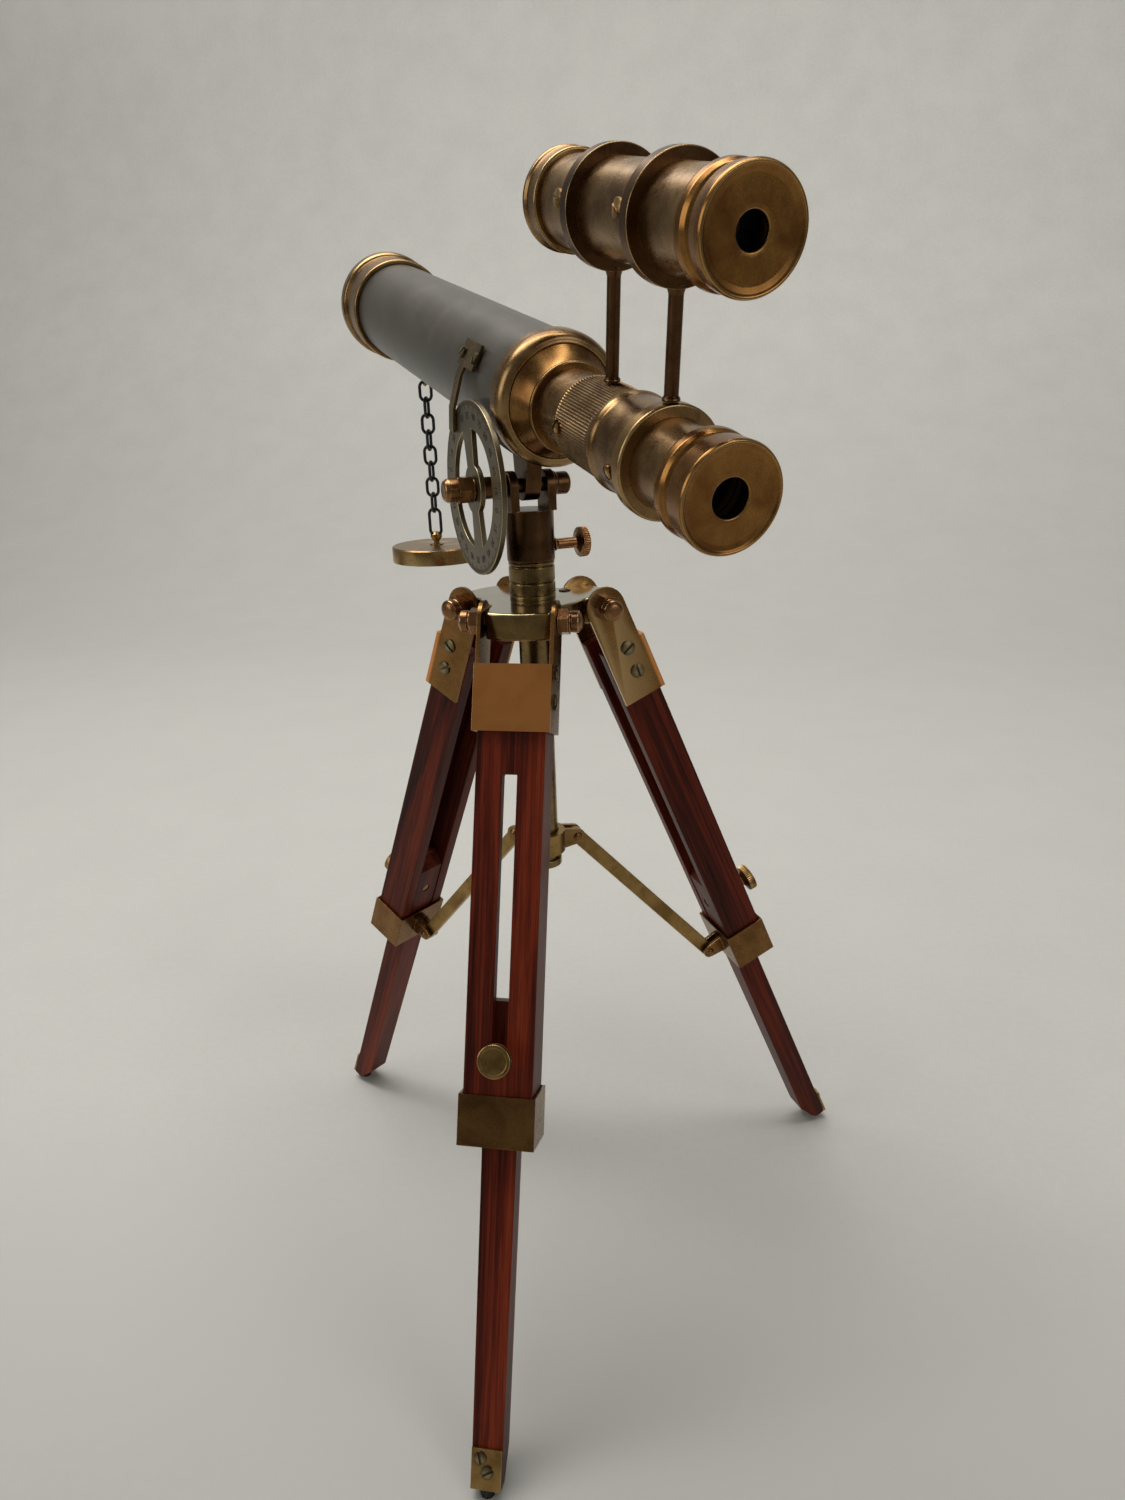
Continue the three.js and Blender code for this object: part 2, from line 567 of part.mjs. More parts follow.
function buildFork() {
  const swivel = frame(telescope, "head_swivel");
  swivel.rotation.z = SWIVEL_ANGLE;
  const bore = PINTLE_RADIUS + SEAT;
  const boreTop = sleeveBottom + PINTLE_HEIGHT + SEAT;
  const sleeve = turnedOnZ(
    [
      [bore, sleeveBottom],
      [SLEEVE_RADIUS, sleeveBottom],
      [SLEEVE_RADIUS, sleeveTop],
      [0, sleeveTop],
      [0, boreTop],
      [bore, boreTop],
    ],
    MEDIUM,
  );
  const lugShape = tongue(LUG_HALF_WIDTH, LUG_HALF_WIDTH, AXLE_ABOVE_SLEEVE + 1);
  const lugs = [lugInner, -lugOuter].map((x) => plateOnX(lugShape, x, x + LUG_SHEET, 2 * ARC).translate(0, 0, axleHeight));
  const axleBore = rodOnX(AXLE_RADIUS + SEAT, -lugOuter - 1, lugOuter + 1).translate(0, 0, axleHeight);
  const thumbHeight = sleeveBottom + THUMB_RISE;
  const thumbHole = rodOnX(THUMB_STEM_RADIUS + SEAT, bore - 1, SLEEVE_RADIUS + 1).translate(0, 0, thumbHeight);
  node(swivel, "fork_sleeve", cut(join(sleeve, ...lugs), axleBore, thumbHole), darkBrass);

  const screw = frame(swivel, "thumbscrew_turn");
  screw.position.z = thumbHeight;
  const headStart = SLEEVE_RADIUS + THUMB_STEM;
  const screwProfile = [
    [0, bore + SEAT],
    [THUMB_STEM_RADIUS, bore + SEAT],
    [THUMB_STEM_RADIUS, headStart - 1.5],
    [THUMB_STEM_RADIUS + 1, headStart],
    [THUMB_RADIUS, headStart],
    [THUMB_RADIUS, headStart + THUMB_HEAD - 0.5],
    [THUMB_RADIUS - 0.5, headStart + THUMB_HEAD],
    [0, headStart + THUMB_HEAD],
  ];
  node(screw, "swivel_thumbscrew", turnedOnX(screwProfile, MEDIUM), brass);

  // The axle carries a spacer tube out to the dial, and a nut at each end.
  const spacerEnd = -dialOuterFace - SEAT;
  const leftEnd = spacerEnd - LEFT_NUT_HEX;
  const rightEnd = lugOuter + RIGHT_NUT_LENGTH - 2;
  const axle = turnedOnX(
    [
      [0, leftEnd],
      [AXLE_RADIUS, leftEnd],
      [AXLE_RADIUS, spacerEnd],
      [SPACER_RADIUS, spacerEnd],
      [SPACER_RADIUS, -lugOuter - SEAT],
      [AXLE_RADIUS, -lugOuter - SEAT],
      [AXLE_RADIUS, rightEnd],
      [0, rightEnd],
    ],
    MEDIUM,
  );
  node(swivel, "tilt_axle", axle.translate(0, 0, axleHeight), darkBrass);
  const nutBore = AXLE_RADIUS + SEAT;
  const leftNut = turnedOnX(
    [
      [nutBore, spacerEnd - SEAT],
      [AXLE_NUT_RADIUS, spacerEnd - SEAT],
      [AXLE_NUT_RADIUS, spacerEnd - LEFT_NUT_HEX],
      [AXLE_NUT_RADIUS - 0.3, spacerEnd - LEFT_NUT_HEX],
      [AXLE_NUT_RADIUS - 0.3, spacerEnd - LEFT_NUT_HEX - LEFT_NUT_DOME + 1],
      [AXLE_NUT_RADIUS - 1.5, spacerEnd - LEFT_NUT_HEX - LEFT_NUT_DOME],
      [0, spacerEnd - LEFT_NUT_HEX - LEFT_NUT_DOME],
      [0, leftEnd - SEAT],
      [nutBore, leftEnd - SEAT],
    ],
    MEDIUM,
  );
  node(swivel, "left_axle_nut", leftNut.translate(0, 0, axleHeight), copperBrass);
  const rightNut = turnedOnX(
    [
      [nutBore, lugOuter + SEAT],
      [AXLE_NUT_RADIUS, lugOuter + SEAT],
      [AXLE_NUT_RADIUS, lugOuter + RIGHT_NUT_LENGTH - 0.6],
      [AXLE_NUT_RADIUS - 0.6, lugOuter + RIGHT_NUT_LENGTH],
      [0, lugOuter + RIGHT_NUT_LENGTH],
      [0, rightEnd + SEAT],
      [nutBore, rightEnd + SEAT],
    ],
    MEDIUM,
  );
  node(swivel, "right_axle_nut", rightNut.translate(0, 0, axleHeight), darkBrass);
  return swivel;
}

// ---------------------------------------------------------------- main tube, drawn along +Y from the tilt axle
const onTube = (geometry) => geometry.translate(TUBE_SHIFT, 0, TUBE_RISE);
const tubeBore = BARREL_RADIUS - BARREL_WALL;

function buildSaddle(tube) {
  const inner = BARREL_RADIUS + SEAT;
  const outer = inner + SADDLE_SHEET;
  const shell = [
    [inner, SADDLE_REAR],
    [outer, SADDLE_REAR],
    [outer, SADDLE_FRONT],
    [inner, SADDLE_FRONT],
  ];
  const reach = 2 * outer;
  const spread = reach * Math.tan(SADDLE_HALF_ANGLE);
  const wedge = polygon([[0, 0], [-spread, -reach], [spread, -reach]]);
  const cradle = common(turnedOnY(shell, FINE), plateOnY(wedge, SADDLE_REAR - 1, SADDLE_FRONT + 1));
  const bladeShape = new THREE.Shape();
  const top = TUBE_RISE - inner - SADDLE_SHEET / 5;
  bladeShape.moveTo(LUG_HALF_WIDTH, 0);
  bladeShape.lineTo(LUG_HALF_WIDTH + 4, top);
  bladeShape.lineTo(-LUG_HALF_WIDTH, top);
  bladeShape.lineTo(-LUG_HALF_WIDTH, 0);
  bladeShape.absarc(0, 0, LUG_HALF_WIDTH, Math.PI, 2 * Math.PI, false);
  bladeShape.closePath();
  const blade = plateOnX(bladeShape, -BLADE_THICK / 2, BLADE_THICK / 2, 2 * ARC);
  const bore = rodOnX(AXLE_RADIUS + SEAT, -BLADE_THICK, BLADE_THICK);
  node(tube, "saddle", cut(join(onTube(cradle), blade), bore), darkBrass);
}

function buildBarrel(tube) {
  const barrel = [
    [tubeBore, BARREL_REAR],
    [BARREL_RADIUS, BARREL_REAR],
    [BARREL_RADIUS, BARREL_FRONT],
    [tubeBore, BARREL_FRONT],
  ];
  node(tube, "barrel", onTube(turnedOnY(barrel)), leather);

  const cellInner = BARREL_RADIUS + SEAT;
  const rimRear = CELL_FRONT - CELL_RIM_LENGTH;
  const cell = [
    [cellInner, CELL_REAR],
    [cellInner + CELL_WALL, CELL_REAR],
    [cellInner + CELL_WALL, rimRear],
    [CELL_RIM, rimRear + 1.2],
    [CELL_RIM, CELL_FRONT - 1.2],
    [CELL_RIM - 0.6, CELL_FRONT],
    [CAP_SEAT_RADIUS, CELL_FRONT],
    [CAP_SEAT_RADIUS, rimRear + 1],
    [tubeBore, rimRear + 1],
    [tubeBore, BARREL_FRONT + SEAT],
    [cellInner, BARREL_FRONT + SEAT],
  ];
  node(tube, "objective_ring", onTube(turnedOnY(cell)), brass);

  const lensRadius = tubeBore - SEAT;
  const lens = [
    [0, BARREL_FRONT - 8],
    [lensRadius * 0.55, BARREL_FRONT - 7.5],
    [lensRadius, BARREL_FRONT - 6],
    [lensRadius, BARREL_FRONT - 3],
    [lensRadius * 0.55, BARREL_FRONT - 1.5],
    [0, BARREL_FRONT - 1],
  ];
  node(tube, "objective_lens", onTube(turnedOnY(lens)), glass);

  // The bell closes the rear of the barrel: a rim, a hollow cove and a lip round the draw tube.
  const bore = DRAW_RADIUS + SEAT;
  const coveTop = BELL_RIM - 1.6;
  const coveFoot = BELL_LIP - 1;
  const cove = [1, 2, 3].map((step) => {
    const angle = (step * Math.PI) / 6;
    const along = Math.sin(angle) * (BELL_REAR + 3 - BELL_RIM_REAR);
    return [coveFoot + (coveTop - coveFoot) * (1 - Math.sin(angle)) ** 1.4, BELL_RIM_REAR + along];
  });
  const bell = [
    [bore, BELL_REAR],
    [BELL_LIP, BELL_REAR],
    [BELL_LIP, BELL_REAR + 1.6],
    ...cove.reverse(),
    [coveTop, BELL_RIM_REAR],
    [BELL_RIM, BELL_RIM_REAR],
    [BELL_RIM, BARREL_REAR - SEAT],
    [tubeBore - SEAT, BARREL_REAR - SEAT],
    [tubeBore - SEAT, BARREL_REAR + 10],
    [tubeBore - SEAT - 1.5, BARREL_REAR + 10],
    [tubeBore - SEAT - 1.5, BARREL_REAR - SEAT],
    [bore + 1.5, BELL_RIM_REAR - 6],
    [bore, BELL_RIM_REAR - 6],
  ];
  node(tube, "bell", onTube(turnedOnY(bell)), brass);
}

// ---------------------------------------------------------------- altitude dial and its strap
function buildDial(tube) {
  const outline = new THREE.Shape().absarc(0, 0, DIAL_RADIUS, 0, 2 * Math.PI, false);
  const opening = DIAL_RADIUS - DIAL_RING;
  const barHalf = DIAL_BAR / 2;
  const hubEdge = Math.asin(barHalf / DIAL_HUB);
  const rimEdge = Math.asin(barHalf / opening);
  [0, Math.PI].forEach((turn) => {
    const window = new THREE.Path();
    window.absarc(0, 0, opening, turn + DIAL_BAR_LEAN + rimEdge, turn + DIAL_BAR_LEAN + Math.PI - rimEdge, false);
    window.absarc(0, 0, DIAL_HUB, turn + DIAL_BAR_LEAN + Math.PI - hubEdge, turn + DIAL_BAR_LEAN + hubEdge, true);
    window.closePath();
    outline.holes.push(window);
  });
  outline.holes.push(new THREE.Path().absarc(0, 0, SPACER_RADIUS + RUN, 0, 2 * Math.PI, true));
  node(tube, "altitude_dial", plateOnX(outline, -dialOuterFace, -dialInnerFace, 4 * ARC), greyBrass);

  // The strap runs from a tab on the side of the barrel down to the outer face of the dial.
  const half = STRAP_SHEET / 2;
  const footRadius = DIAL_RADIUS - STRAP_WIDTH / 2 - 0.6;
  const foot = [-dialOuterFace - SEAT - half, footRadius * Math.cos(STRAP_FOOT_ANGLE)];
  const strapPlace = footRadius * Math.sin(STRAP_FOOT_ANGLE);
  const tabRadius = BARREL_RADIUS + SEAT + half + STRAP_TAB_RISE;
  const out = [-Math.cos(STRAP_TAB_ANGLE), Math.sin(STRAP_TAB_ANGLE)];
  const down = [-Math.sin(STRAP_TAB_ANGLE), -Math.cos(STRAP_TAB_ANGLE)];
  const onTab = (drop) => [
    out[0] * tabRadius + down[0] * drop + TUBE_SHIFT,
    out[1] * tabRadius + down[1] * drop + TUBE_RISE,
  ];
  const spine = [onTab(STRAP_TAB / 2 - 1), onTab(STRAP_TAB / 2 + 3), [foot[0], foot[1] + 6], [foot[0], foot[1] - 2.5]];
  const edge = (side) => spine.map(([x, z]) => [x + side * half, z]);
  const profile = polygon([...edge(1), ...edge(-1).reverse()]);
  const strip = plateOnY(profile, strapPlace - STRAP_WIDTH / 2, strapPlace + STRAP_WIDTH / 2);
  const tabTurn = new THREE.Matrix4().makeRotationY(Math.PI + STRAP_TAB_ANGLE);
  const tab = block([tabRadius - half, -STRAP_TAB_LENGTH / 2, -STRAP_TAB / 2], [tabRadius + half, STRAP_TAB_LENGTH / 2, STRAP_TAB / 2]);
  tab.applyMatrix4(tabTurn).translate(TUBE_SHIFT, STRAP_TAB_PLACE, TUBE_RISE);
  node(tube, "dial_strap", join(tab, strip), greyBrass);
}

// ---------------------------------------------------------------- draw tube, eyepiece and finder
function buildDraw(tube) {
  const draw = frame(tube, "draw_slide");
  draw.position.set(TUBE_SHIFT, 0, TUBE_RISE);
  draw.rotation.y = -FINDER_LEAN;
  const bore = DRAW_RADIUS + SEAT;
  const inner = DRAW_RADIUS - DRAW_WALL;
  const pipe = (radius, wall, front, rear) => [
    [radius - wall, front],
    [radius, front],
    [radius, rear],
    [radius - wall, rear],
  ];
  node(draw, "draw_tube", turnedOnY(pipe(DRAW_RADIUS, DRAW_WALL, DRAW_FRONT, DRAW_REAR)), brass);
  const knurled = [
    [bore, KNURL_FRONT],
    [KNURL_RADIUS - 0.5, KNURL_FRONT],
    [KNURL_RADIUS, KNURL_FRONT - 1],
    [KNURL_RADIUS, KNURL_REAR],
    [bore, KNURL_REAR],
  ];
  node(draw, "knurled_ring", turnedOnY(knurled), brass);
  const beadRear = KNURL_REAR - 3.8;
  const collar = [
    [bore, KNURL_REAR - SEAT],
    [BEAD_RADIUS - 0.8, KNURL_REAR - SEAT],
    [BEAD_RADIUS, KNURL_REAR - 1.6],
    [BEAD_RADIUS - 0.5, beadRear],
    [COLLAR_RADIUS, beadRear],
    [COLLAR_RADIUS, FLANGE_FRONT],
    [FLANGE_RADIUS, FLANGE_FRONT],
    [FLANGE_RADIUS, FLANGE_REAR],
    [bore, FLANGE_REAR],
  ];
  node(draw, "rear_collar", turnedOnY(collar), brass);
  const eyePipe = pipe(DRAW_RADIUS, DRAW_WALL, DRAW_REAR - 2, EYE_TUBE_REAR);
  node(draw, "eyepiece_tube", turnedOnY(eyePipe), brass);
  const cupBead = CUP_FRONT - 4.6;
  const cup = [
    [bore, CUP_FRONT],
    [CUP_RADIUS - 0.9, CUP_FRONT],
    [CUP_RADIUS, CUP_FRONT - 1.4],
    [CUP_RADIUS - 0.4, cupBead],
    [CUP_RADIUS - 2, cupBead - 1.3],
    [CUP_RADIUS - 0.2, cupBead - 2.6],
    [CUP_RADIUS, CUP_REAR + 1],
    [CUP_RADIUS - 0.7, CUP_REAR],
    [EYE_HOLE, CUP_REAR + 1],
    [EYE_HOLE, CUP_REAR + EYE_WALL],
    [inner, CUP_REAR + EYE_WALL],
    [inner, EYE_TUBE_REAR - SEAT],
    [bore, EYE_TUBE_REAR - SEAT],
  ];
  node(draw, "eyepiece_cup", turnedOnY(cup), brass);
  node(draw, "eye_lens", turnedOnY(lensProfile(inner - SEAT, EYE_TUBE_REAR + 3, 4)), glass);

  const finderBore = FINDER_RADIUS + SEAT;
  const postFeet = [KNURL_RADIUS, FLANGE_RADIUS];
  ["front", "rear"].forEach((name, index) => {
    const place = POST_PLACES[index];
    const ring = [
      [finderBore, place + RING_LENGTH / 2],
      [RING_RADIUS, place + RING_LENGTH / 2],
      [RING_RADIUS, place - RING_LENGTH / 2],
      [finderBore, place - RING_LENGTH / 2],
    ];
    const bottom = postFeet[index] + SEAT;
    const post = rodOnZ(POST_RADIUS, bottom, FINDER_RISE - RING_RADIUS + 1).translate(0, place, 0);
    const bracket = join(turnedOnY(ring).translate(0, 0, FINDER_RISE), post);
    node(draw, `${name}_finder_bracket`, bracket, brass);
  });

  const onFinder = (geometry) => geometry.translate(0, 0, FINDER_RISE);
  const finderInner = FINDER_RADIUS - FINDER_WALL;
  const finderPipe = pipe(FINDER_RADIUS, FINDER_WALL, FINDER_FRONT, FINDER_REAR);
  node(draw, "finder_tube", onFinder(turnedOnY(finderPipe)), brass);
  const cell = [
    [finderBore, FINDER_CELL_REAR],
    [FINDER_CELL_RADIUS - 0.4, FINDER_CELL_REAR],
    [FINDER_CELL_RADIUS, FINDER_CELL_REAR + 2],
    [FINDER_CELL_RADIUS, FINDER_CELL_FRONT - 1],
    [FINDER_CELL_RADIUS - 0.6, FINDER_CELL_FRONT],
    [finderInner, FINDER_CELL_FRONT],
    [finderInner, FINDER_FRONT + SEAT],
    [finderBore, FINDER_FRONT + SEAT],
  ];
  node(draw, "finder_objective_ring", onFinder(turnedOnY(cell)), brass);
  const finderLens = lensProfile(finderInner - SEAT, FINDER_FRONT - 5, 3.5);
  node(draw, "finder_objective_lens", onFinder(turnedOnY(finderLens)), glass);

  const focus = frame(draw, "finder_focus");
  const spigot = finderInner - RUN;
  const cupFront = FINDER_REAR - RUN;
  const bead = cupFront - 4;
  const eyepiece = [
    [spigot - FINDER_WALL, cupFront + FINDER_SPIGOT],
    [spigot, cupFront + FINDER_SPIGOT],
    [spigot, cupFront],
    [FINDER_CUP_RADIUS - 0.9, cupFront],
    [FINDER_CUP_RADIUS, cupFront - 1.4],
    [FINDER_CUP_RADIUS - 0.4, bead],
    [FINDER_CUP_RADIUS - 1.8, bead - 1.2],
    [FINDER_CUP_RADIUS - 0.2, bead - 2.4],
    [FINDER_CUP_RADIUS, FINDER_CUP_REAR + 1],
    [FINDER_CUP_RADIUS - 0.7, FINDER_CUP_REAR],
    [FINDER_HOLE, FINDER_CUP_REAR + 0.8],
    [FINDER_HOLE, FINDER_CUP_REAR + FINDER_HOLE_WALL],
    [spigot - FINDER_WALL, FINDER_CUP_REAR + FINDER_HOLE_WALL],
  ];
  node(focus, "finder_eyepiece", onFinder(turnedOnY(eyepiece)), brass);
  const finderEye = lensProfile(spigot - FINDER_WALL - SEAT, cupFront - 3, 3.5);
  node(focus, "finder_eye_lens", onFinder(turnedOnY(finderEye)), glass);
}

// A double convex lens whose middle lies at `station`.
function lensProfile(radius, station, thickness) {
  const edge = thickness * 0.3;
  return [
    [0, station - thickness / 2],
    [radius * 0.6, station - thickness * 0.42],
    [radius, station - edge],
    [radius, station + edge],
    [radius * 0.6, station + thickness * 0.42],
    [0, station + thickness / 2],
  ];
}

// ---------------------------------------------------------------- chain and lens cap
const chainTop = TUBE_RISE - BARREL_RADIUS - SEAT;
const eyeCentre = chainTop - 1.4 - EYE_RING;

// A ring of wire pulled out to `length`, hanging in the YZ plane, or turned to the XZ plane.
function link(length, middle, across, wire = WIRE) {
  const radius = LINK_WIDTH / 2 - WIRE;
  const pull = (length - LINK_WIDTH) / 2;
  const ring = new THREE.TorusGeometry(radius, wire, 6, 12);
  const places = ring.getAttribute("position");
  for (let i = 0; i < places.count; i++) {
    const y = places.getY(i);
    places.setY(i, y + (Math.abs(y) < 1e-6 ? 0 : Math.sign(y) * pull));
  }
  ring.rotateX(Math.PI / 2);
  return (across ? ring : ring.rotateZ(Math.PI / 2)).translate(0, 0, middle);
}

// Links joined one under the other; `top` is where the upper wire of the first one lies.
function chainRun(count, top, firstAcross, tail) {
  const lengths = Array(count).fill(LINK_LENGTH).concat(tail);
  const links = [];
  let wire = top;
  lengths.forEach((length, index) => {
    const span = length - 2 * WIRE;
    links.push(link(length, wire - span / 2, (index % 2 === 0) === firstAcross));
    wire = wire - span + 2 * WIRE - 0.06;
  });
  return { geometry: join(...links), lowestWire: wire - 2 * WIRE + 0.06 };
}

function buildChain(tube) {
  const eyeBase = rodOnZ(2.6, chainTop - 1.4, chainTop);
  const eye = new THREE.TorusGeometry(EYE_RING - WIRE, WIRE, 5, 10).rotateX(Math.PI / 2).rotateZ(Math.PI / 2);
  const eyeRing = eye.translate(0, 0, eyeCentre + WIRE / 2);
  node(tube, "chain_eye", join(eyeBase, eyeRing).translate(TUBE_SHIFT, CHAIN_PLACE, 0), iron);

  // The chain hangs plumb whatever the tilt of the tube.
  const upper = frame(tube, "chain_plumb");
  const eyeWire = eyeCentre + WIRE / 2 - (EYE_RING - WIRE);
  upper.position.set(TUBE_SHIFT, CHAIN_PLACE, eyeWire + 2 * WIRE + SEAT);
  upper.rotation.x = -TUBE_TILT;
  const first = chainRun(LINKS_UPPER, 0, true, []);
  node(upper, "upper_chain", first.geometry, iron);

  const lower = frame(upper, "chain_swing");
  lower.position.z = first.lowestWire + 2 * WIRE + SEAT;
  const second = chainRun(LINKS_LOWER, 0, LINKS_UPPER % 2 === 0, [LINK_LENGTH * RING_STRETCH]);
  node(lower, "lower_chain", second.geometry, iron);

  const cap = frame(lower, "cap_swing");
  cap.position.z = second.lowestWire;
  const knobRadius = LENS_CAP_KNOB;
  const capTop = -knobRadius - 1.6;
  const outer = CAP_SEAT_RADIUS - SEAT;
  const dish = turnedOnZ(
    [
      [0, capTop],
      [outer - 0.6, capTop],
      [outer, capTop - 0.6],
      [outer, capTop - LENS_CAP_DEPTH],
      [outer - LENS_CAP_WALL, capTop - LENS_CAP_DEPTH],
      [outer - LENS_CAP_WALL, capTop - LENS_CAP_WALL],
      [0, capTop - LENS_CAP_WALL],
    ],
    FINE,
  );
  const knob = turnedOnZ(
    [
      [0, knobRadius - 0.9],
      [1.6, knobRadius - 1.1],
      [knobRadius, 0.6],
      [knobRadius, -0.8],
      [1.4, -knobRadius],
      [1.4, -knobRadius - 0.6],
      [knobRadius + 0.6, capTop + 0.5],
      [knobRadius + 0.6, capTop - 0.5],
      [0, capTop - 0.5],
    ],
    MEDIUM,
  );
  // The last ring passes through the knob, which is cut clear of it.
  const ringSpan = LINK_LENGTH * RING_STRETCH - 2 * WIRE;
  const ringAcross = (LINKS_UPPER + LINKS_LOWER) % 2 === 0;
  const ringPath = link(LINK_LENGTH * RING_STRETCH, ringSpan / 2, ringAcross, WIRE + RUN);
  const room = [-CAP_SWING, 0, CAP_SWING].map((swing) => ringPath.clone().rotateX(swing));
  node(cap, "lens_cap", join(dish, cut(knob, ...room)), brass);
}

buildHead();
buildLegs();
buildSpreader();
const fork = buildFork();
const tubeGroup = frame(fork, "tube_tilt");
tubeGroup.position.z = axleHeight;
tubeGroup.rotation.x = TUBE_TILT;
buildSaddle(tubeGroup);
buildBarrel(tubeGroup);
buildDial(tubeGroup);
buildDraw(tubeGroup);
buildChain(tubeGroup);

// The origin is the middle of the whole object's footprint, on the ground.
telescope.updateMatrixWorld(true);
const extent = new THREE.Box3().setFromObject(telescope, true);
const middle = extent.getCenter(new THREE.Vector3());
telescope.position.set(-middle.x, -middle.y, -extent.min.z);

export default telescope;
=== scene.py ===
# %% [markdown]
# # A brass telescope on a folding tripod
# The stand, the fork, the tube and the finder each have straight lines and turned pieces of
# their own, so every piece is drawn in millimetres in the axes of the body that carries it.
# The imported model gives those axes: a hinge's own line, a slide's own direction.

# %% Load the frame
import json
import math

import bmesh
import bpy
import numpy as np
from mathutils import Matrix


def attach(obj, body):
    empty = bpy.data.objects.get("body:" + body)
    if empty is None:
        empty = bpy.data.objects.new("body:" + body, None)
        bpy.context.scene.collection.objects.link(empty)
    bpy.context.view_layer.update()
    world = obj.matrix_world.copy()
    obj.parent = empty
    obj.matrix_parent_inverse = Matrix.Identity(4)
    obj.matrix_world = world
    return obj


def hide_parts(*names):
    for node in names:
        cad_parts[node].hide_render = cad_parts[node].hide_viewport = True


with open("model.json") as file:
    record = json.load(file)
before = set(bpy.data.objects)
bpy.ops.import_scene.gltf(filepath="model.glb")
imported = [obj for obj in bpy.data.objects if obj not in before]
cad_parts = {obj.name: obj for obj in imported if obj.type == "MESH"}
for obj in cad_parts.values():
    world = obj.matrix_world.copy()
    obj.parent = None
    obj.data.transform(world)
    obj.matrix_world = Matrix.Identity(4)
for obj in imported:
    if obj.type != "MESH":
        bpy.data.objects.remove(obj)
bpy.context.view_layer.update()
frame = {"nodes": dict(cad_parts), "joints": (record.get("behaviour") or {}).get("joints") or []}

MM = 0.001
joints = {joint["name"]: joint for joint in frame["joints"]}

# %% [markdown]
# A `Place` is an origin and three directions. Points in its millimetres go out to metres in
# the row frame, and the points of a CAD node come back as millimetres, to be measured there.

# %% Places and measures
class Place:
    """Local millimetres p stand at origin + p.x X + p.y Y + p.z Z in the row frame."""

    def __init__(self, origin, x, y, z):
        self.origin = np.array(origin, float)
        self.axes = np.array([x, y, z], float)

    def out(self, points):
        return self.origin + (np.asarray(points, float) * MM) @ self.axes

    def back(self, points):
        return (np.asarray(points) - self.origin) @ self.axes.T / MM

    def moved(self, x=0.0, y=0.0, z=0.0):
        return Place(self.out([x, y, z]), *self.axes)

    def turned(self, degrees, about="z"):
        """The same origin with the other two directions turned about one of them."""
        first, second = {"x": (1, 2), "y": (2, 0), "z": (0, 1)}[about]
        c, s = math.cos(math.radians(degrees)), math.sin(math.radians(degrees))
        axes = self.axes.copy()
        axes[first] = c * self.axes[first] + s * self.axes[second]
        axes[second] = c * self.axes[second] - s * self.axes[first]
        return Place(self.origin, *axes)

    def upon(self, name):
        """The same place with its z along the named direction, or against it with a minus."""
        x, y, z = self.axes
        return Place(self.origin, *{"x": (y, z, x), "-x": (z, y, -x), "y": (z, x, y)}[name])


def vertices(mesh):
    """A mesh's vertices, one row each."""
    flat = np.empty(3 * len(mesh.vertices), np.float32)
    mesh.vertices.foreach_get("co", flat)
    return flat.reshape(-1, 3).astype(float)


def corners(node):
    """The vertices of a CAD node in the row frame, in metres."""
    return vertices(frame["nodes"][node].data)


def size(node, place):
    """Lowest and highest corner of a node in a place's millimetres."""
    local = place.back(corners(node))
    return local.min(0), local.max(0)


def ring(node, place):
    """Inner radius, outer radius, low and high station of a turned node about a place's z."""
    local = place.back(corners(node))
    radius = np.hypot(local[:, 0], local[:, 1])
    return radius.min(), radius.max(), local[:, 2].min(), local[:, 2].max()


def hinge_place(name, z):
    """A hinge's place: x along its axis, z as near as possible to the direction given."""
    x = np.array(joints[name]["axis"], float)
    z = np.array(z, float) - np.dot(z, x) * x
    z /= np.linalg.norm(z)
    return Place(joints[name]["pos_m"], x, np.cross(z, x), z)


LEGS = ["front", "right", "left"]
legs = {}
for name in LEGS:
    fold = hinge_place(f"{name}_leg_fold", joints[f"{name}_leg_length"]["axis"])
    legs[name] = fold.turned(180)  # x against the fold, so that y points outwards
thumb = hinge_place("thumbscrew_turn", (0, 0, 1))
forward = -np.array(joints["draw_focus"]["axis"])
tilt = hinge_place("tube_tilt", np.cross(joints["tube_tilt"]["axis"], forward))
fork = Place(joints["tube_tilt"]["pos_m"], *thumb.axes)
low, high = size("barrel", tilt)
tube = tilt.moved(x=(low[0] + high[0]) / 2, z=(low[2] + high[2]) / 2)
across, _, above = tube.back(corners("finder_tube")).mean(0)
finder_lean, finder_rise = math.degrees(math.atan2(across, above)), math.hypot(across, above)
draw = tube.turned(finder_lean, about="y")
finder = draw.moved(z=finder_rise)
stand = Place((0, joints["head_swivel"]["pos_m"][1], 0), (1, 0, 0), (0, 1, 0), (0, 0, 1))
print("finder leans", round(finder_lean, 2), "degrees, its axis", round(finder_rise, 1), "mm up")

# %% [markdown]
# A surface is a grid of points and the cells between them. A grid can be closed round one
# direction, as a turned piece is, or round both, as a ring is. Each point also carries how
# worn it is: outer edges are rubbed bright, and inner corners keep their dirt.

# %% Grids
class Shape:
    """Points in a place's millimetres, faces as rows of indices, and a worn value per point."""

    def __init__(self, place, points, faces, worn=None):
        self.place = place
        self.points = np.asarray(points, float).reshape(-1, 3)
        self.faces = faces
        self.worn = np.zeros(len(self.points)) if worn is None else np.asarray(worn, float).ravel()


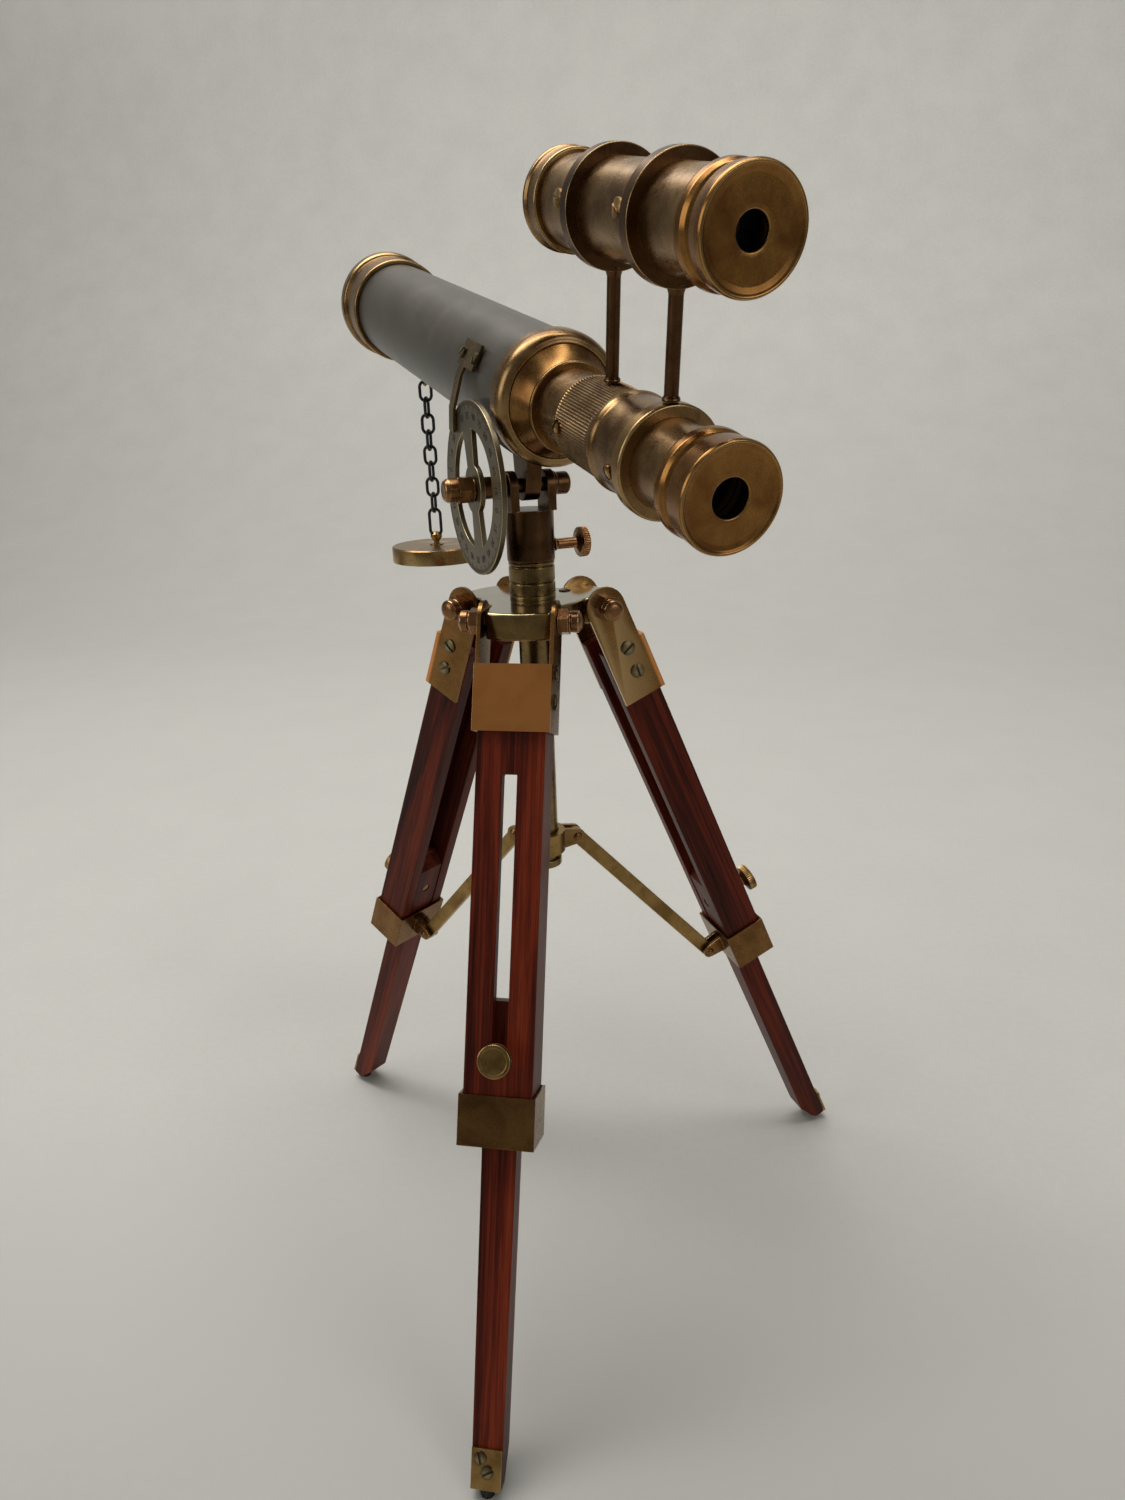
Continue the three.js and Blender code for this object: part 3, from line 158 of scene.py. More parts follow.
def cells(rows, columns, round_rows, round_columns):
    """Corner indices of every cell: (i, j), (i, j + 1), (i + 1, j + 1), (i + 1, j)."""
    i = np.arange(rows if round_rows else rows - 1)[:, None]
    j = np.arange(columns if round_columns else columns - 1)[None, :]
    i2, j2 = (i + 1) % rows, (j + 1) % columns
    corner = [i * columns + j, i * columns + j2, i2 * columns + j2, i2 * columns + j]
    return np.stack(np.broadcast_arrays(*corner), -1).reshape(-1, 4).tolist()


def soften(points, radius, steps=4, closed=True):
    """Rounds each corner P with the curve (1-t)^2 A + 2t(1-t) P + t^2 B between two points a
    radius away on its sides. Also gives sin(pi t) as wear, minus on corners that turn inwards."""
    p = np.asarray(points, float)
    before, after = np.roll(p, 1, 0) - p, np.roll(p, -1, 0) - p
    long_before = np.maximum(np.linalg.norm(before, axis=1), 1e-9)
    long_after = np.maximum(np.linalg.norm(after, axis=1), 1e-9)
    share = 0.45  # of a side that one corner's round may use
    reach = np.minimum(share * long_before, share * long_after)
    reach = np.minimum(np.broadcast_to(radius, len(p)), reach)
    if not closed:
        reach[[0, -1]] = 0
    start = p + before * (reach / long_before)[:, None]
    end = p + after * (reach / long_after)[:, None]
    t = np.linspace(0, 1, steps + 1)[None, :, None]
    curve = (1 - t) ** 2 * start[:, None] + 2 * t * (1 - t) * p[:, None] + t**2 * end[:, None]
    area = np.sum(p[:, 0] * np.roll(p[:, 1], -1) - p[:, 1] * np.roll(p[:, 0], -1))
    turn = np.sign((-before[:, 0] * after[:, 1] + before[:, 1] * after[:, 0]) * area)
    sharp = np.clip(1.2 - np.sum(-before * after, 1) / (long_before * long_after), 0, 1)
    wear = np.sin(np.pi * t[..., 0]) * (turn * sharp)[:, None]
    curve, wear = curve.reshape(-1, 2), wear.ravel()
    if closed:
        return curve, wear
    return curve[steps:-steps], wear[steps:-steps]


def lathe(place, profile, fillet=0.25, sides=96, ripple=None, steps=4):
    """A profile of (radius, station) turned about z: (r cos a, r sin a, s). The ripple may
    change the radius with the angle and the station, for knurls and hexagons."""
    profile = np.array(profile, float)
    closed = profile[0, 0] > 0 or profile[-1, 0] > 0
    curve, wear = soften(profile, fillet, steps, closed)
    angle = np.arange(sides) * 2 * np.pi / sides
    radius = np.broadcast_to(curve[:, :1], (len(curve), sides)).copy()
    station = np.broadcast_to(curve[:, 1:], radius.shape)
    if ripple is not None:
        radius = ripple(radius, station, angle[None, :])
    points = np.stack([radius * np.cos(angle), radius * np.sin(angle), station], -1)
    wear = np.broadcast_to(wear[:, None], radius.shape)
    return Shape(place, points, cells(len(curve), sides, closed, True), wear)


def between(value, low, high, blur=0.4):
    """1 where low < value < high, easing to 0 over the blur at both ends."""
    return np.clip((value - low) / blur, 0, 1) * np.clip((high - value) / blur, 0, 1)


def knurl(teeth, depth, low, high, crest=None):
    """Straight knurling: radius - depth |cos(teeth a / 2)| on the outside between two stations."""

    def ripple(radius, station, angle):
        outside = 1.0 if crest is None else radius > crest - 1.5 * depth
        return radius - depth * np.abs(np.cos(teeth * angle / 2)) * between(station, low, high) * outside

    return ripple


def hexagon(across, low, high):
    """A nut: the radius is held inside the flats of a hexagon, across/2 / cos(a from the flat)."""

    def ripple(radius, station, angle):
        from_flat = (angle + np.pi / 6) % (np.pi / 3) - np.pi / 6
        flat = across / 2 / np.cos(from_flat)
        return np.where((station >= low) & (station <= high), np.minimum(radius, flat), radius)

    return ripple


def wire_ring(place, length, width, wire, sides=14, around=48, rubbed=0.4):
    """A link of wire: a circle of the width pulled apart along z to the length, with a round
    section of the wire's radius about it, rubbed on its outside."""
    angle = np.arange(around) * 2 * np.pi / around
    bend = width / 2 - wire
    pull = (length - width) / 2
    height = bend * np.sin(angle) + pull * np.sign(np.sin(angle))
    centre = np.stack([bend * np.cos(angle), 0 * angle, height], -1)
    radial = np.stack([np.cos(angle), 0 * angle, np.sin(angle)], -1)
    turn = (np.arange(sides) * 2 * np.pi / sides)[None, :, None]
    section = np.cos(turn) * radial[:, None] + np.sin(turn) * np.array([0, 1, 0])
    points = centre[:, None] + wire * section
    worn = np.broadcast_to(np.cos(turn[..., 0]) * rubbed, points.shape[:2])
    return Shape(place, points, cells(around, sides, True, True), worn)


print("grid of 3 x 4 closed round both ways:", len(cells(3, 4, True, True)), "cells")

# %% [markdown]
# A sheet-metal plate is a flat outline with a thickness and a small round on its edges. A
# filled 2-D curve with extrusion and bevel gives exactly that, holes included.

# %% Plates, screws and eased CAD solids
CREASE = math.radians(32)  # a CAD edge that bends more than this is rounded
FLAT_ABOVE = 3.0 * MM * MM  # a face above this area is a flat, whatever the bevel calls it
FOOT = -0.15  # how deep screws and rivets reach into what they stand on


def drawn(curve):
    """The points and faces of a filled curve or a text, which is removed again."""
    holder = bpy.data.objects.new(curve.name, curve)
    bpy.context.scene.collection.objects.link(holder)
    graph = bpy.context.evaluated_depsgraph_get()
    mesh = bpy.data.meshes.new_from_object(holder.evaluated_get(graph))
    points, faces = vertices(mesh), [tuple(polygon.vertices) for polygon in mesh.polygons]
    bpy.data.objects.remove(holder)
    bpy.data.curves.remove(curve)
    bpy.data.meshes.remove(mesh)
    return points, faces


def plate(place, loops, low, high, edge=0.25):
    """Closed outlines filled and thickened from low to high along z, with rounded edges."""
    curve = bpy.data.curves.new("plate", "CURVE")
    curve.dimensions, curve.fill_mode = "2D", "BOTH"
    for loop in loops:
        spline = curve.splines.new("POLY")
        spline.points.add(len(loop) - 1)
        flat = np.zeros((len(loop), 4))
        flat[:, :2], flat[:, 3] = loop, 1
        spline.points.foreach_set("co", flat.ravel())
        spline.use_cyclic_u = True
    curve.extrude = (high - low) / 2 - edge
    curve.bevel_depth, curve.bevel_resolution, curve.offset = edge, 2, -edge
    points, faces = drawn(curve)
    points[:, 2] += (low + high) / 2
    inside = np.minimum(points[:, 2] - low, high - points[:, 2])
    rounded = (inside > 0.02) & (inside < edge * 0.9)
    return Shape(place, points, faces, np.where(rounded, 1.0, 0.0))


def eased(node, place, edge=0.3):
    """The CAD solid of a node with every sharp edge rounded by the given millimetres."""
    solid = bmesh.new()
    solid.from_mesh(frame["nodes"][node].data)
    bmesh.ops.remove_doubles(solid, verts=solid.verts, dist=1e-6)
    bmesh.ops.dissolve_limit(solid, angle_limit=math.radians(1), verts=solid.verts, edges=solid.edges)
    sharp = [e for e in solid.edges if len(e.link_faces) == 2 and e.calc_face_angle() > CREASE]
    made = bmesh.ops.bevel(
        solid, geom=sharp, offset=edge * MM, segments=2, profile=0.6, affect="EDGES", clamp_overlap=True
    )
    rounds = {face for face in made["faces"] if face.calc_area() < FLAT_ABOVE}
    solid.verts.index_update()
    worn = [float(all(face in rounds for face in vert.link_faces)) for vert in solid.verts]
    points = place.back(np.array([vert.co[:] for vert in solid.verts]))
    faces = [tuple(vert.index for vert in face.verts) for face in solid.faces]
    solid.free()
    return Shape(place, points, faces, worn)


def screw(place, radius, height=0.9, slot=0.42, turn=0.0):
    """A slotted screw head with its foot at the origin: rows of constant y across a dome
    z = height (1 - sag rho^2), cut down by a flat slot where |y| is small."""
    half, wall, sag, cut = slot / radius, 0.02, 0.45, 0.6
    low_side, high_side = np.linspace(-1, -half - wall, 8), np.linspace(half + wall, 1, 8)
    y = np.concatenate([low_side, [-half, half], high_side])
    x = np.concatenate([[-1], np.linspace(-1, 1, 15), [1]])
    chord = np.sqrt(np.clip(1 - y**2, 0, None))[:, None]
    points_x = radius * chord * x[None, :]
    points_y = np.broadcast_to(radius * y[:, None], points_x.shape)
    dome = height * (1 - sag * (points_x**2 + points_y**2) / radius**2)
    dome = dome - height * cut * (np.abs(y) <= half + 1e-9)[:, None]
    dome[:, [0, -1]] = FOOT
    worn = np.clip(dome / height, 0, 1) ** 3
    points = np.stack([points_x, points_y, dome], -1)
    return Shape(place.turned(turn), points, cells(len(y), len(x), False, True), worn)


def rivet(place, radius, height):
    """A domed rivet head: z = height cos(pi rho / 2), with its foot at the origin."""
    dome = [[0, height], [radius * 0.5, height * 0.85], [radius * 0.85, height * 0.45]]
    return lathe(place, dome + [[radius, 0], [radius, FOOT], [0, FOOT]], 0.3, 24)


# %% [markdown]
# Shapes become one mesh per piece. Two attributes go with it: `own`, the point in the
# piece's own millimetres, so that grain and turning marks follow the piece, and `worn`.

# %% From shapes to a piece
def piece(name, shapes, finish, body, replaces=()):
    """Joins shapes into one mesh, merges seams and poles, turns faces outwards, and lets the
    piece ride on its body."""
    points = np.concatenate([shape.place.out(shape.points) for shape in shapes])
    faces, start = [], 0
    for shape in shapes:
        faces += [[index + start for index in face] for face in shape.faces]
        start += len(shape.points)
    mesh = bpy.data.meshes.new(name)
    mesh.from_pydata(points.tolist(), [], faces)
    own = mesh.attributes.new("own", "FLOAT_VECTOR", "POINT")
    own.data.foreach_set("vector", np.concatenate([shape.points for shape in shapes]).ravel())
    worn = mesh.attributes.new("worn", "FLOAT", "POINT")
    worn.data.foreach_set("value", np.concatenate([shape.worn for shape in shapes]))
    work = bmesh.new()
    work.from_mesh(mesh)
    bmesh.ops.remove_doubles(work, verts=work.verts, dist=2e-6)
    bmesh.ops.dissolve_degenerate(work, edges=work.edges, dist=1e-7)
    bmesh.ops.recalc_face_normals(work, faces=work.faces)
    work.to_mesh(mesh)
    work.free()
    mesh.polygons.foreach_set("use_smooth", np.ones(len(mesh.polygons), bool))
    mesh.set_sharp_from_angle(angle=math.radians(38))
    mesh.materials.append(finish)
    made = bpy.data.objects.new(name, mesh)
    bpy.context.scene.collection.objects.link(made)
    even = made.modifiers.new("flat faces shade flat", "WEIGHTED_NORMAL")
    even.keep_sharp = True
    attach(made, body)
    if replaces:
        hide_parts(*replaces)
    return made


print("one rivet has", len(rivet(stand, 1.5, 0.8).faces), "faces")

# %% [markdown]
# ## Finishes
# A finish is a graph of shader nodes. Writing the sums as Python expressions keeps them
# short: a `Wire` holds one socket, and an operator on it adds the Math node.

# %% Shader expressions
class Wire:
    """One output socket; sums on it become Math nodes."""

    def __init__(self, recipe, socket):
        self.recipe, self.socket = recipe, socket

    def __add__(self, other):
        return self.recipe.node("Math", {0: self, 1: other}, operation="ADD")

    def __sub__(self, other):
        return self.recipe.node("Math", {0: self, 1: other}, operation="SUBTRACT")

    def __rsub__(self, other):
        return self.recipe.node("Math", {0: other, 1: self}, operation="SUBTRACT")

    def __mul__(self, other):
        return self.recipe.node("Math", {0: self, 1: other}, operation="MULTIPLY")

    def clamp(self):
        return self.recipe.node("Math", {0: self, 1: 0.0}, operation="ADD", use_clamp=True)

    __radd__, __rmul__ = __add__, __mul__


class Recipe:
    """A material with its nodes made by one method."""

    def __init__(self, name):
        self.material = bpy.data.materials.new(name)
        self.material.use_nodes = True
        self.tree = self.material.node_tree
        self.tree.nodes.clear()
        self.shader = self.tree.nodes.new("ShaderNodeBsdfPrincipled")
        last = self.tree.nodes.new("ShaderNodeOutputMaterial")
        self.tree.links.new(self.shader.outputs["BSDF"], last.inputs["Surface"])

    def connect(self, socket, value):
        if isinstance(value, Wire):
            self.tree.links.new(value.socket, socket)
        elif isinstance(value, (tuple, list)) and len(value) == 3 and len(socket.default_value) == 4:
            socket.default_value = (*value, 1.0)
        else:
            socket.default_value = value

    def node(self, kind, inputs=None, output=0, stops=None, **settings):
        """Adds a node: its settings first, a ramp's stops with them, then its sockets."""
        made = self.tree.nodes.new("ShaderNode" + kind)
        for key, value in settings.items():
            setattr(made, key, value)
        if stops:
            while len(made.color_ramp.elements) < len(stops):
                made.color_ramp.elements.new(0.5)
            for element, (place, colour) in zip(made.color_ramp.elements, stops):
                element.position, element.color = place, (*colour, 1.0)
        for key, value in (inputs or {}).items():
            self.connect(made.inputs[key], value)
        return Wire(self, made.outputs[output])

    def own(self, stretch=(1, 1, 1), shift=(0, 0, 0)):
        """The piece's own millimetres, stretched and shifted."""
        raw = self.node("Attribute", attribute_name="own", output="Vector")
        return self.node("Mapping", {"Vector": raw, "Scale": stretch, "Location": shift})

    def worn(self):
        return self.node("Attribute", attribute_name="worn", output="Fac")

    def noise(self, vector, scale=1.0, detail=4.0, rough=0.5, warp=0.0):
        sockets = {"Scale": scale, "Detail": detail, "Roughness": rough, "Distortion": warp}
        return self.node("TexNoise", {"Vector": vector, **sockets}, output="Fac")

    def part(self, vector, axis):
        """One number of a vector: 0, 1 or 2 for x, y or z."""
        return self.node("SeparateXYZ", {0: vector}, output=axis)

    def ramp(self, value, low, high):
        """0 at low, 1 at high, straight between."""
        sockets = {"Value": value, "From Min": low, "From Max": high}
        return self.node("MapRange", sockets, clamp=True)

    def blend(self, mask, under, over):
        """Colour mixing: under where the mask is 0, over where it is 1."""
        settings = {"data_type": "RGBA", "clamp_factor": True}
        return self.node("Mix", {0: mask, 6: under, 7: over}, output=2, **settings)

    def bump(self, height, strength, distance):
        return self.node("Bump", {"Height": height, "Strength": strength, "Distance": distance})

    def finish(self, **sockets):
        """Fills the shader's sockets, base_color for Base Color and so on."""
        for key, value in sockets.items():
            label = key.replace("_", " ").title().replace("Ior", "IOR")
            self.connect(self.shader.inputs[label], value)
        return self.material


def times(factor, colour):
    return tuple(factor * channel for channel in colour)


# %% [markdown]
# Old lacquered brass is not one colour: the metal shows through a thin brown patina in soft
# clouds, edges that hands touch are yellow and bright, and inner corners are nearly black.
# Turned pieces also keep faint rings from the lathe, which stretch the reflections.

# %% Brass
def brass(name, metal, patina, bright, rough=0.3, clouds=0.09, rings=0.25, ring_scale=5.0, second=None):
    """Patina over metal by noise, bright where worn, dark where the wear is negative. A second
    tone (axis, low, high, colour, roughness) takes over along one of the piece's own axes."""
    r = Recipe(name)
    own, worn = r.own(), r.worn()
    cloud = r.noise(own, clouds, 5, 0.6, 0.4)
    speck = r.noise(own, 1.7, 3, 0.6)
    turning = r.noise(r.own((0.02, 0.02, 1.0)), ring_scale, 3, 0.7)
    mask = r.ramp(cloud + 0.25 * (speck - 0.5), 0.345, 0.635)
    colour = r.blend(1.0 - mask, metal, patina)
    shine = rough
    if second:
        axis, low, high, tone, smooth = second
        there = r.ramp(r.part(own, axis), low, high)
        colour = r.blend(there, colour, r.blend(mask * 0.6, times(0.8, tone), tone))
        shine = (smooth - rough) * there + rough
    rubbed = (r.ramp(worn, 0.15, 1.0) * (0.45 + 0.6 * speck)).clamp()
    dirt = r.ramp(0.0 - worn, 0.1, 1.0) * 0.8
    colour = r.blend(dirt, r.blend(rubbed, colour, bright), times(0.25, patina))
    roughness = shine + 0.16 * (cloud - 0.5) + 0.10 * (speck - 0.5) + 0.06 * (turning - 0.5)
    roughness = (roughness - 0.06 * r.ramp(worn, 0.2, 1.0)).clamp()
    normal = r.bump(turning * rings + speck * 0.25, 0.12, 0.00012)
    return r.finish(base_color=colour, metallic=1.0, roughness=roughness, normal=normal)


satin_brass = brass(
    "satin_brass", (0.33, 0.205, 0.088), (0.165, 0.086, 0.034), (0.62, 0.45, 0.20), rough=0.28
)
bright_brass = brass(
    "bright_brass", (0.27, 0.140, 0.045), (0.13, 0.055, 0.017), (0.66, 0.47, 0.20), rough=0.27, rings=0.1
)
disc_brass = brass(
    "disc_brass", (0.31, 0.150, 0.042), (0.18, 0.076, 0.021), (0.72, 0.52, 0.22), rough=0.26, ring_scale=2.0
)
copper_brass = brass(
    "copper_brass", (0.30, 0.150, 0.062), (0.17, 0.074, 0.030), (0.66, 0.43, 0.21), rough=0.28, rings=0.0
)
olive_brass = brass(
    "olive_brass", (0.27, 0.185, 0.078), (0.14, 0.090, 0.036), (0.52, 0.40, 0.17), rough=0.28, rings=0.0
)
old_gold = brass(
    "old_gold", (0.37, 0.230, 0.082), (0.19, 0.110, 0.036), (0.62, 0.47, 0.22), rough=0.32, rings=0.0
)
cap_gold = brass(
    "cap_gold", (0.34, 0.215, 0.085), (0.22, 0.125, 0.045), (0.70, 0.50, 0.22), rough=0.30
)
dark_brass = brass(
    "dark_brass", (0.120, 0.060, 0.026), (0.062, 0.029, 0.012), (0.36, 0.23, 0.10), rough=0.30
)
ring_brass = brass(
    "ring_brass", (0.12, 0.060, 0.025), (0.065, 0.030, 0.013), (0.55, 0.38, 0.16), rough=0.28
)
screw_brass = brass(
    "screw_brass", (0.15, 0.115, 0.060), (0.07, 0.052, 0.026), (0.42, 0.34, 0.18), rough=0.34, rings=0.0
)
print("brass finishes:", [m.name for m in bpy.data.materials])

# %% [markdown]
# Rosewood-like hardwood under clear lacquer: long dark streaks along the leg, fine pores, a
# red body colour, and a clear coat that reflects the room. The grain runs along each leg's z.

# %% Wood, leather, iron and glass
def lacquered_wood(name, shift):
    """Streaks are noise squeezed along z; the body colour runs from near black to red."""
    r = Recipe(name)
    broad = r.noise(r.own((0.10, 0.10, 0.006), shift), 1.0, 5, 0.6, 1.2)
    streak = r.noise(r.own((0.9, 0.9, 0.018), shift), 1.0, 6, 0.65, 0.6)
    pore = r.noise(r.own((3.5, 3.5, 0.10), shift), 1.0, 3, 0.6)
    tone = (0.55 * broad + 0.45 * streak).clamp()
    dark, brown = (0.010, 0.0022, 0.0014), (0.062, 0.0085, 0.0035)
    red, light = (0.135, 0.018, 0.0060), (0.22, 0.040, 0.013)
    stops = [(0.34, dark), (0.46, brown), (0.56, red), (0.72, light)]
    colour = r.node("ValToRGB", {0: tone}, stops=stops)
    colour = r.blend(r.ramp(pore, 0.60, 0.72) * 0.65, colour, (0.010, 0.0022, 0.0012))
    colour = r.blend(r.ramp(r.worn(), 0.2, 1.0) * 0.35, colour, (0.22, 0.060, 0.024))
    height = streak * 0.5 - r.ramp(pore, 0.58, 0.72) * 0.6
    return r.finish(
        base_color=colour,
        roughness=(0.42 + 0.25 * (streak - 0.5)).clamp(),
        coat_weight=0.06,
        coat_roughness=0.14,
        specular_ior_level=0.10,
        normal=r.bump(height, 0.25, 0.0002),
    )


woods = {}
for index, name in enumerate(LEGS):  # each leg is cut from another part of the wood
    woods[name] = lacquered_wood(f"{name}_wood", (11.0 * index, 5.0 * index, 90.0 * index))


def pressed_leather():
    """Fine pebbles from cells and noise, a grey-black colour and a waxy satin surface."""
    r = Recipe("barrel_leather")
    sockets = {"Vector": r.own(), "Scale": 1.6, "Randomness": 1.0}
    pebble = r.node("TexVoronoi", sockets, output="Distance")
    cloud = r.noise(r.own(), 0.05, 5, 0.6, 0.5)
    fine = r.noise(r.own(), 2.4, 4, 0.6)
    colour = r.blend(r.ramp(cloud, 0.35, 0.7), (0.026, 0.023, 0.018), (0.056, 0.049, 0.038))
    colour = r.blend(r.ramp(fine, 0.6, 0.75) * 0.5, colour, (0.090, 0.080, 0.062))
    return r.finish(
        base_color=colour,
        roughness=(0.33 + 0.22 * (cloud - 0.5) + 0.18 * (fine - 0.5)).clamp(),
        specular_ior_level=0.70,
        specular_tint=(1.0, 0.94, 0.84),
        normal=r.bump(fine * 0.6 - pebble * 0.35, 0.22, 0.0002),
    )


def engraving_black():
    """Black paint in cut figures, slightly rubbed."""
    r = Recipe("engraving_black")
    rub = r.ramp(r.noise(r.own(), 0.5, 3), 0.5, 0.75)
    colour = r.blend(rub, (0.006, 0.005, 0.004), (0.035, 0.028, 0.02))
    return r.finish(base_color=colour, roughness=0.6 + 0.1 * rub)


def black_iron(name, tone, rough):
    """Blackened iron wire: dark, slightly mottled, with rubbed edges."""
    r = Recipe(name)
    cloud = r.noise(r.own(), 0.6, 4, 0.6)
    soot, metal = times(tone, (0.5, 0.5, 0.5)), times(tone, (1.0, 0.95, 0.86))
    colour = r.blend(r.ramp(cloud, 0.4, 0.7), soot, metal)
    colour = r.blend(r.ramp(r.worn(), 0.3, 1.0) * 0.5, colour, (0.20, 0.18, 0.15))
    roughness = (rough + 0.2 * (cloud - 0.5)).clamp()
    normal = r.bump(cloud, 0.2, 0.0001)
    return r.finish(base_color=colour, metallic=0.9, roughness=roughness, normal=normal)


def dark_lens():
    """A lens with a blackened tube behind it shows only its gloss and a faint blue bloom."""
    r = Recipe("lens_glass")
    cloud = r.noise(r.own(), 0.06, 2)
    colour = r.blend(r.ramp(cloud, 0.4, 0.6), (0.010, 0.014, 0.018), (0.016, 0.020, 0.024))
    roughness = 0.05 + 0.02 * cloud
    return r.finish(base_color=colour, roughness=roughness, coat_weight=1.0, coat_roughness=0.02)


leather = pressed_leather()
iron = black_iron("black_iron", 0.055, 0.42)
ink = engraving_black()
lens_glass = dark_lens()
print(len(bpy.data.materials), "materials")

# %% [markdown]
# ## The stand
# The head is a cast plate with three square lobes that hold the leg bolts, polished on top.
# Its outline is worked out by angle: the farthest of a disc and three rounded rectangles.

# %% Head plate, stub and column
def lobed_outline(disc, half, reach, count=720):
    """Radius at an angle: the disc, or where a ray leaves a lobe of half-width half that ends
    on a circle of radius reach, whichever is farther out."""
    angle = np.arange(count) * 2 * np.pi / count
    radius = np.full(count, disc)
    for name in LEGS:
        outward = legs[name].axes[1]
        turn = angle - math.atan2(outward[1], outward[0])
        ray = np.minimum(reach, half / np.maximum(np.abs(np.sin(turn)), 1e-6))
        radius = np.where(np.cos(turn) > 0, np.maximum(radius, ray), radius)
    smooth = sum(np.roll(radius, step) for step in range(-4, 5)) / 9
    return np.stack([smooth * np.cos(angle), smooth * np.sin(angle)], -1)


HEAD_DISC, LOBE_END, SCREW_CIRCLE = 20.3, 6.5, 16.5  # radius, past the bolts, radius
underside, table = size("head_plate", stand)[0][2], size("head_plate", stand)[1][2]
wood_half = size("front_upper_leg", legs["front"])[1][0]
pivot_out = float(np.hypot(*(legs["front"].origin - stand.origin)[:2]) / MM)
head_outline = lobed_outline(HEAD_DISC, wood_half, pivot_out + LOBE_END)
head = plate(stand, [head_outline], underside, table, 0.8)
mirror = (2, table - 0.9, table - 0.1, (0.46, 0.42, 0.34), 0.13)
plate_tones = (0.24, 0.155, 0.060), (0.12, 0.072, 0.026), (0.55, 0.42, 0.20)
plate_brass = brass("plate_brass", *plate_tones, rough=0.24, rings=0.0, second=mirror)
plate_screws = []
for turn in (38, -38):
    spot = stand.turned(turn).moved(y=SCREW_CIRCLE, z=table)
    plate_screws.append(screw(spot, 2.3, 0.7, turn=35 + turn))
piece("head_casting", [head], plate_brass, "stand_head", ["head_plate"])
piece("head_plate_screws", plate_screws, dark_brass, "stand_head")

_, stub_radius, stub_low, stub_high = ring("post_stub", stand)
fork_low = ring("fork_sleeve", stand)[2]
PINTLE = 5  # radius of the part inside the fork's sleeve


def groove(rise, deep=0.55, wide=0.5):
    """A V cut round the stub at a height above its foot."""
    height = stub_low + rise
    lips = [stub_radius, height - wide], [stub_radius, height + wide]
    return [lips[0], [stub_radius - deep, height], lips[1]]


stub_profile = [[0, stub_low], [stub_radius, stub_low], *groove(1.6, 0.3, 0.4), *groove(6.4)]
stub_profile += [*groove(12.6), [stub_radius, fork_low - 0.3], [PINTLE, fork_low - 0.3]]
stub_profile += [[PINTLE, stub_high], [0, stub_high]]
stub = lathe(stand, stub_profile, 0.2)
piece("turned_post_stub", [stub], olive_brass, "stand_head", ["post_stub"])

_, column_foot, column_low, column_high = ring("column", stand)
rod, nut_top = column_foot - 1.2, column_low + 3  # the rod's radius, the top of its foot nut
column_profile = [[0, column_low], [column_foot, column_low], [column_foot, nut_top]]
column_profile += [[rod, nut_top], [rod, column_high], [0, column_high]]
piece("turned_column", [lathe(stand, column_profile, 0.3)], olive_brass, "stand_head", ["column"])
print("plate outline has", len(head_outline), "points")

# %% [markdown]
# ## Legs
# Each leg is a slotted board in a bolted cap, with a sliding lower leg, a clamp knob and a
# folded band that carries the strut. The wood keeps the CAD solid, eased at its edges, for
# its shape is right; bolts and knobs are turned afresh, with hexagons and knurls.

# %% One leg
web_face = size("front_leg_cap", legs["front"])[1][1]
web = (1, web_face - 2.2, web_face - 1.2, (0.96, 0.39, 0.115), 0.20)
folded = {"rough": 0.27, "rings": 0.0, "clouds": 0.06}
cap_tones = (0.31, 0.160, 0.050), (0.18, 0.088, 0.026), (0.62, 0.42, 0.20)
band_tones = (0.25, 0.128, 0.043), (0.135, 0.064, 0.021), (0.55, 0.36, 0.15)
cap_finish = brass("cap_brass", *cap_tones, **folded, second=web)
satin_band = brass("band_brass", *band_tones, **folded)


def through_bolt(place, grip, radius, hex_long, dome_long):
    """Both ends of a bolt: a hexagonal nut against the cheek and a turned, domed end on it."""
    shapes = []
    nut, tip = grip + hex_long, grip + hex_long + dome_long
    corner, end = radius * 1.1, radius * 0.86
    collar = [[0, grip], [corner, grip], [corner, nut], [0, nut]]
    dome = [[0, nut - 0.1], [end, nut - 0.1], [end, nut + 0.5], [radius * 0.78, nut + 0.8]]
    dome += [[end, nut + 1.1], [end, tip - 1.2], [radius * 0.5, tip - 0.25], [0, tip]]
    flats = hexagon(1.86 * radius, grip - 1, nut + 1)
    for side in ("x", "-x"):
        shapes.append(lathe(place.upon(side), collar, 0.25, 96, flats))
        shapes.append(lathe(place.upon(side), dome, 0.5, 48))
    return shapes


def knurled_knob(place, foot, neck, head_low, head_high, radius, teeth=44):
    """A clamp screw's head: a waisted neck, a straight-knurled rim and a shallow dished face."""
    waist = neck * 0.78
    rim = [[0, foot], [neck, foot], [neck, foot + 0.6], [waist, foot + 1.4], [waist, head_low - 1.2]]
    rim += [[radius * 0.72, head_low], [radius, head_low + 0.15], [radius, head_high]]
    rim += [[radius * 0.80, head_high + 0.15], [radius * 0.76, head_high + 0.02]]
    rim += [[radius * 0.3, head_high + 0.08], [0, head_high + 0.1]]
    fluted = knurl(teeth, 0.45, head_low + 0.1, head_high - 0.1, radius)
    return lathe(place, rim, 0.3, teeth * 6, fluted)


def shaft(place, radius, low, high, sides=32):
    """A plain rod along z."""
    return lathe(place, [[0, low], [radius, low], [radius, high], [0, high]], 0.1, sides)


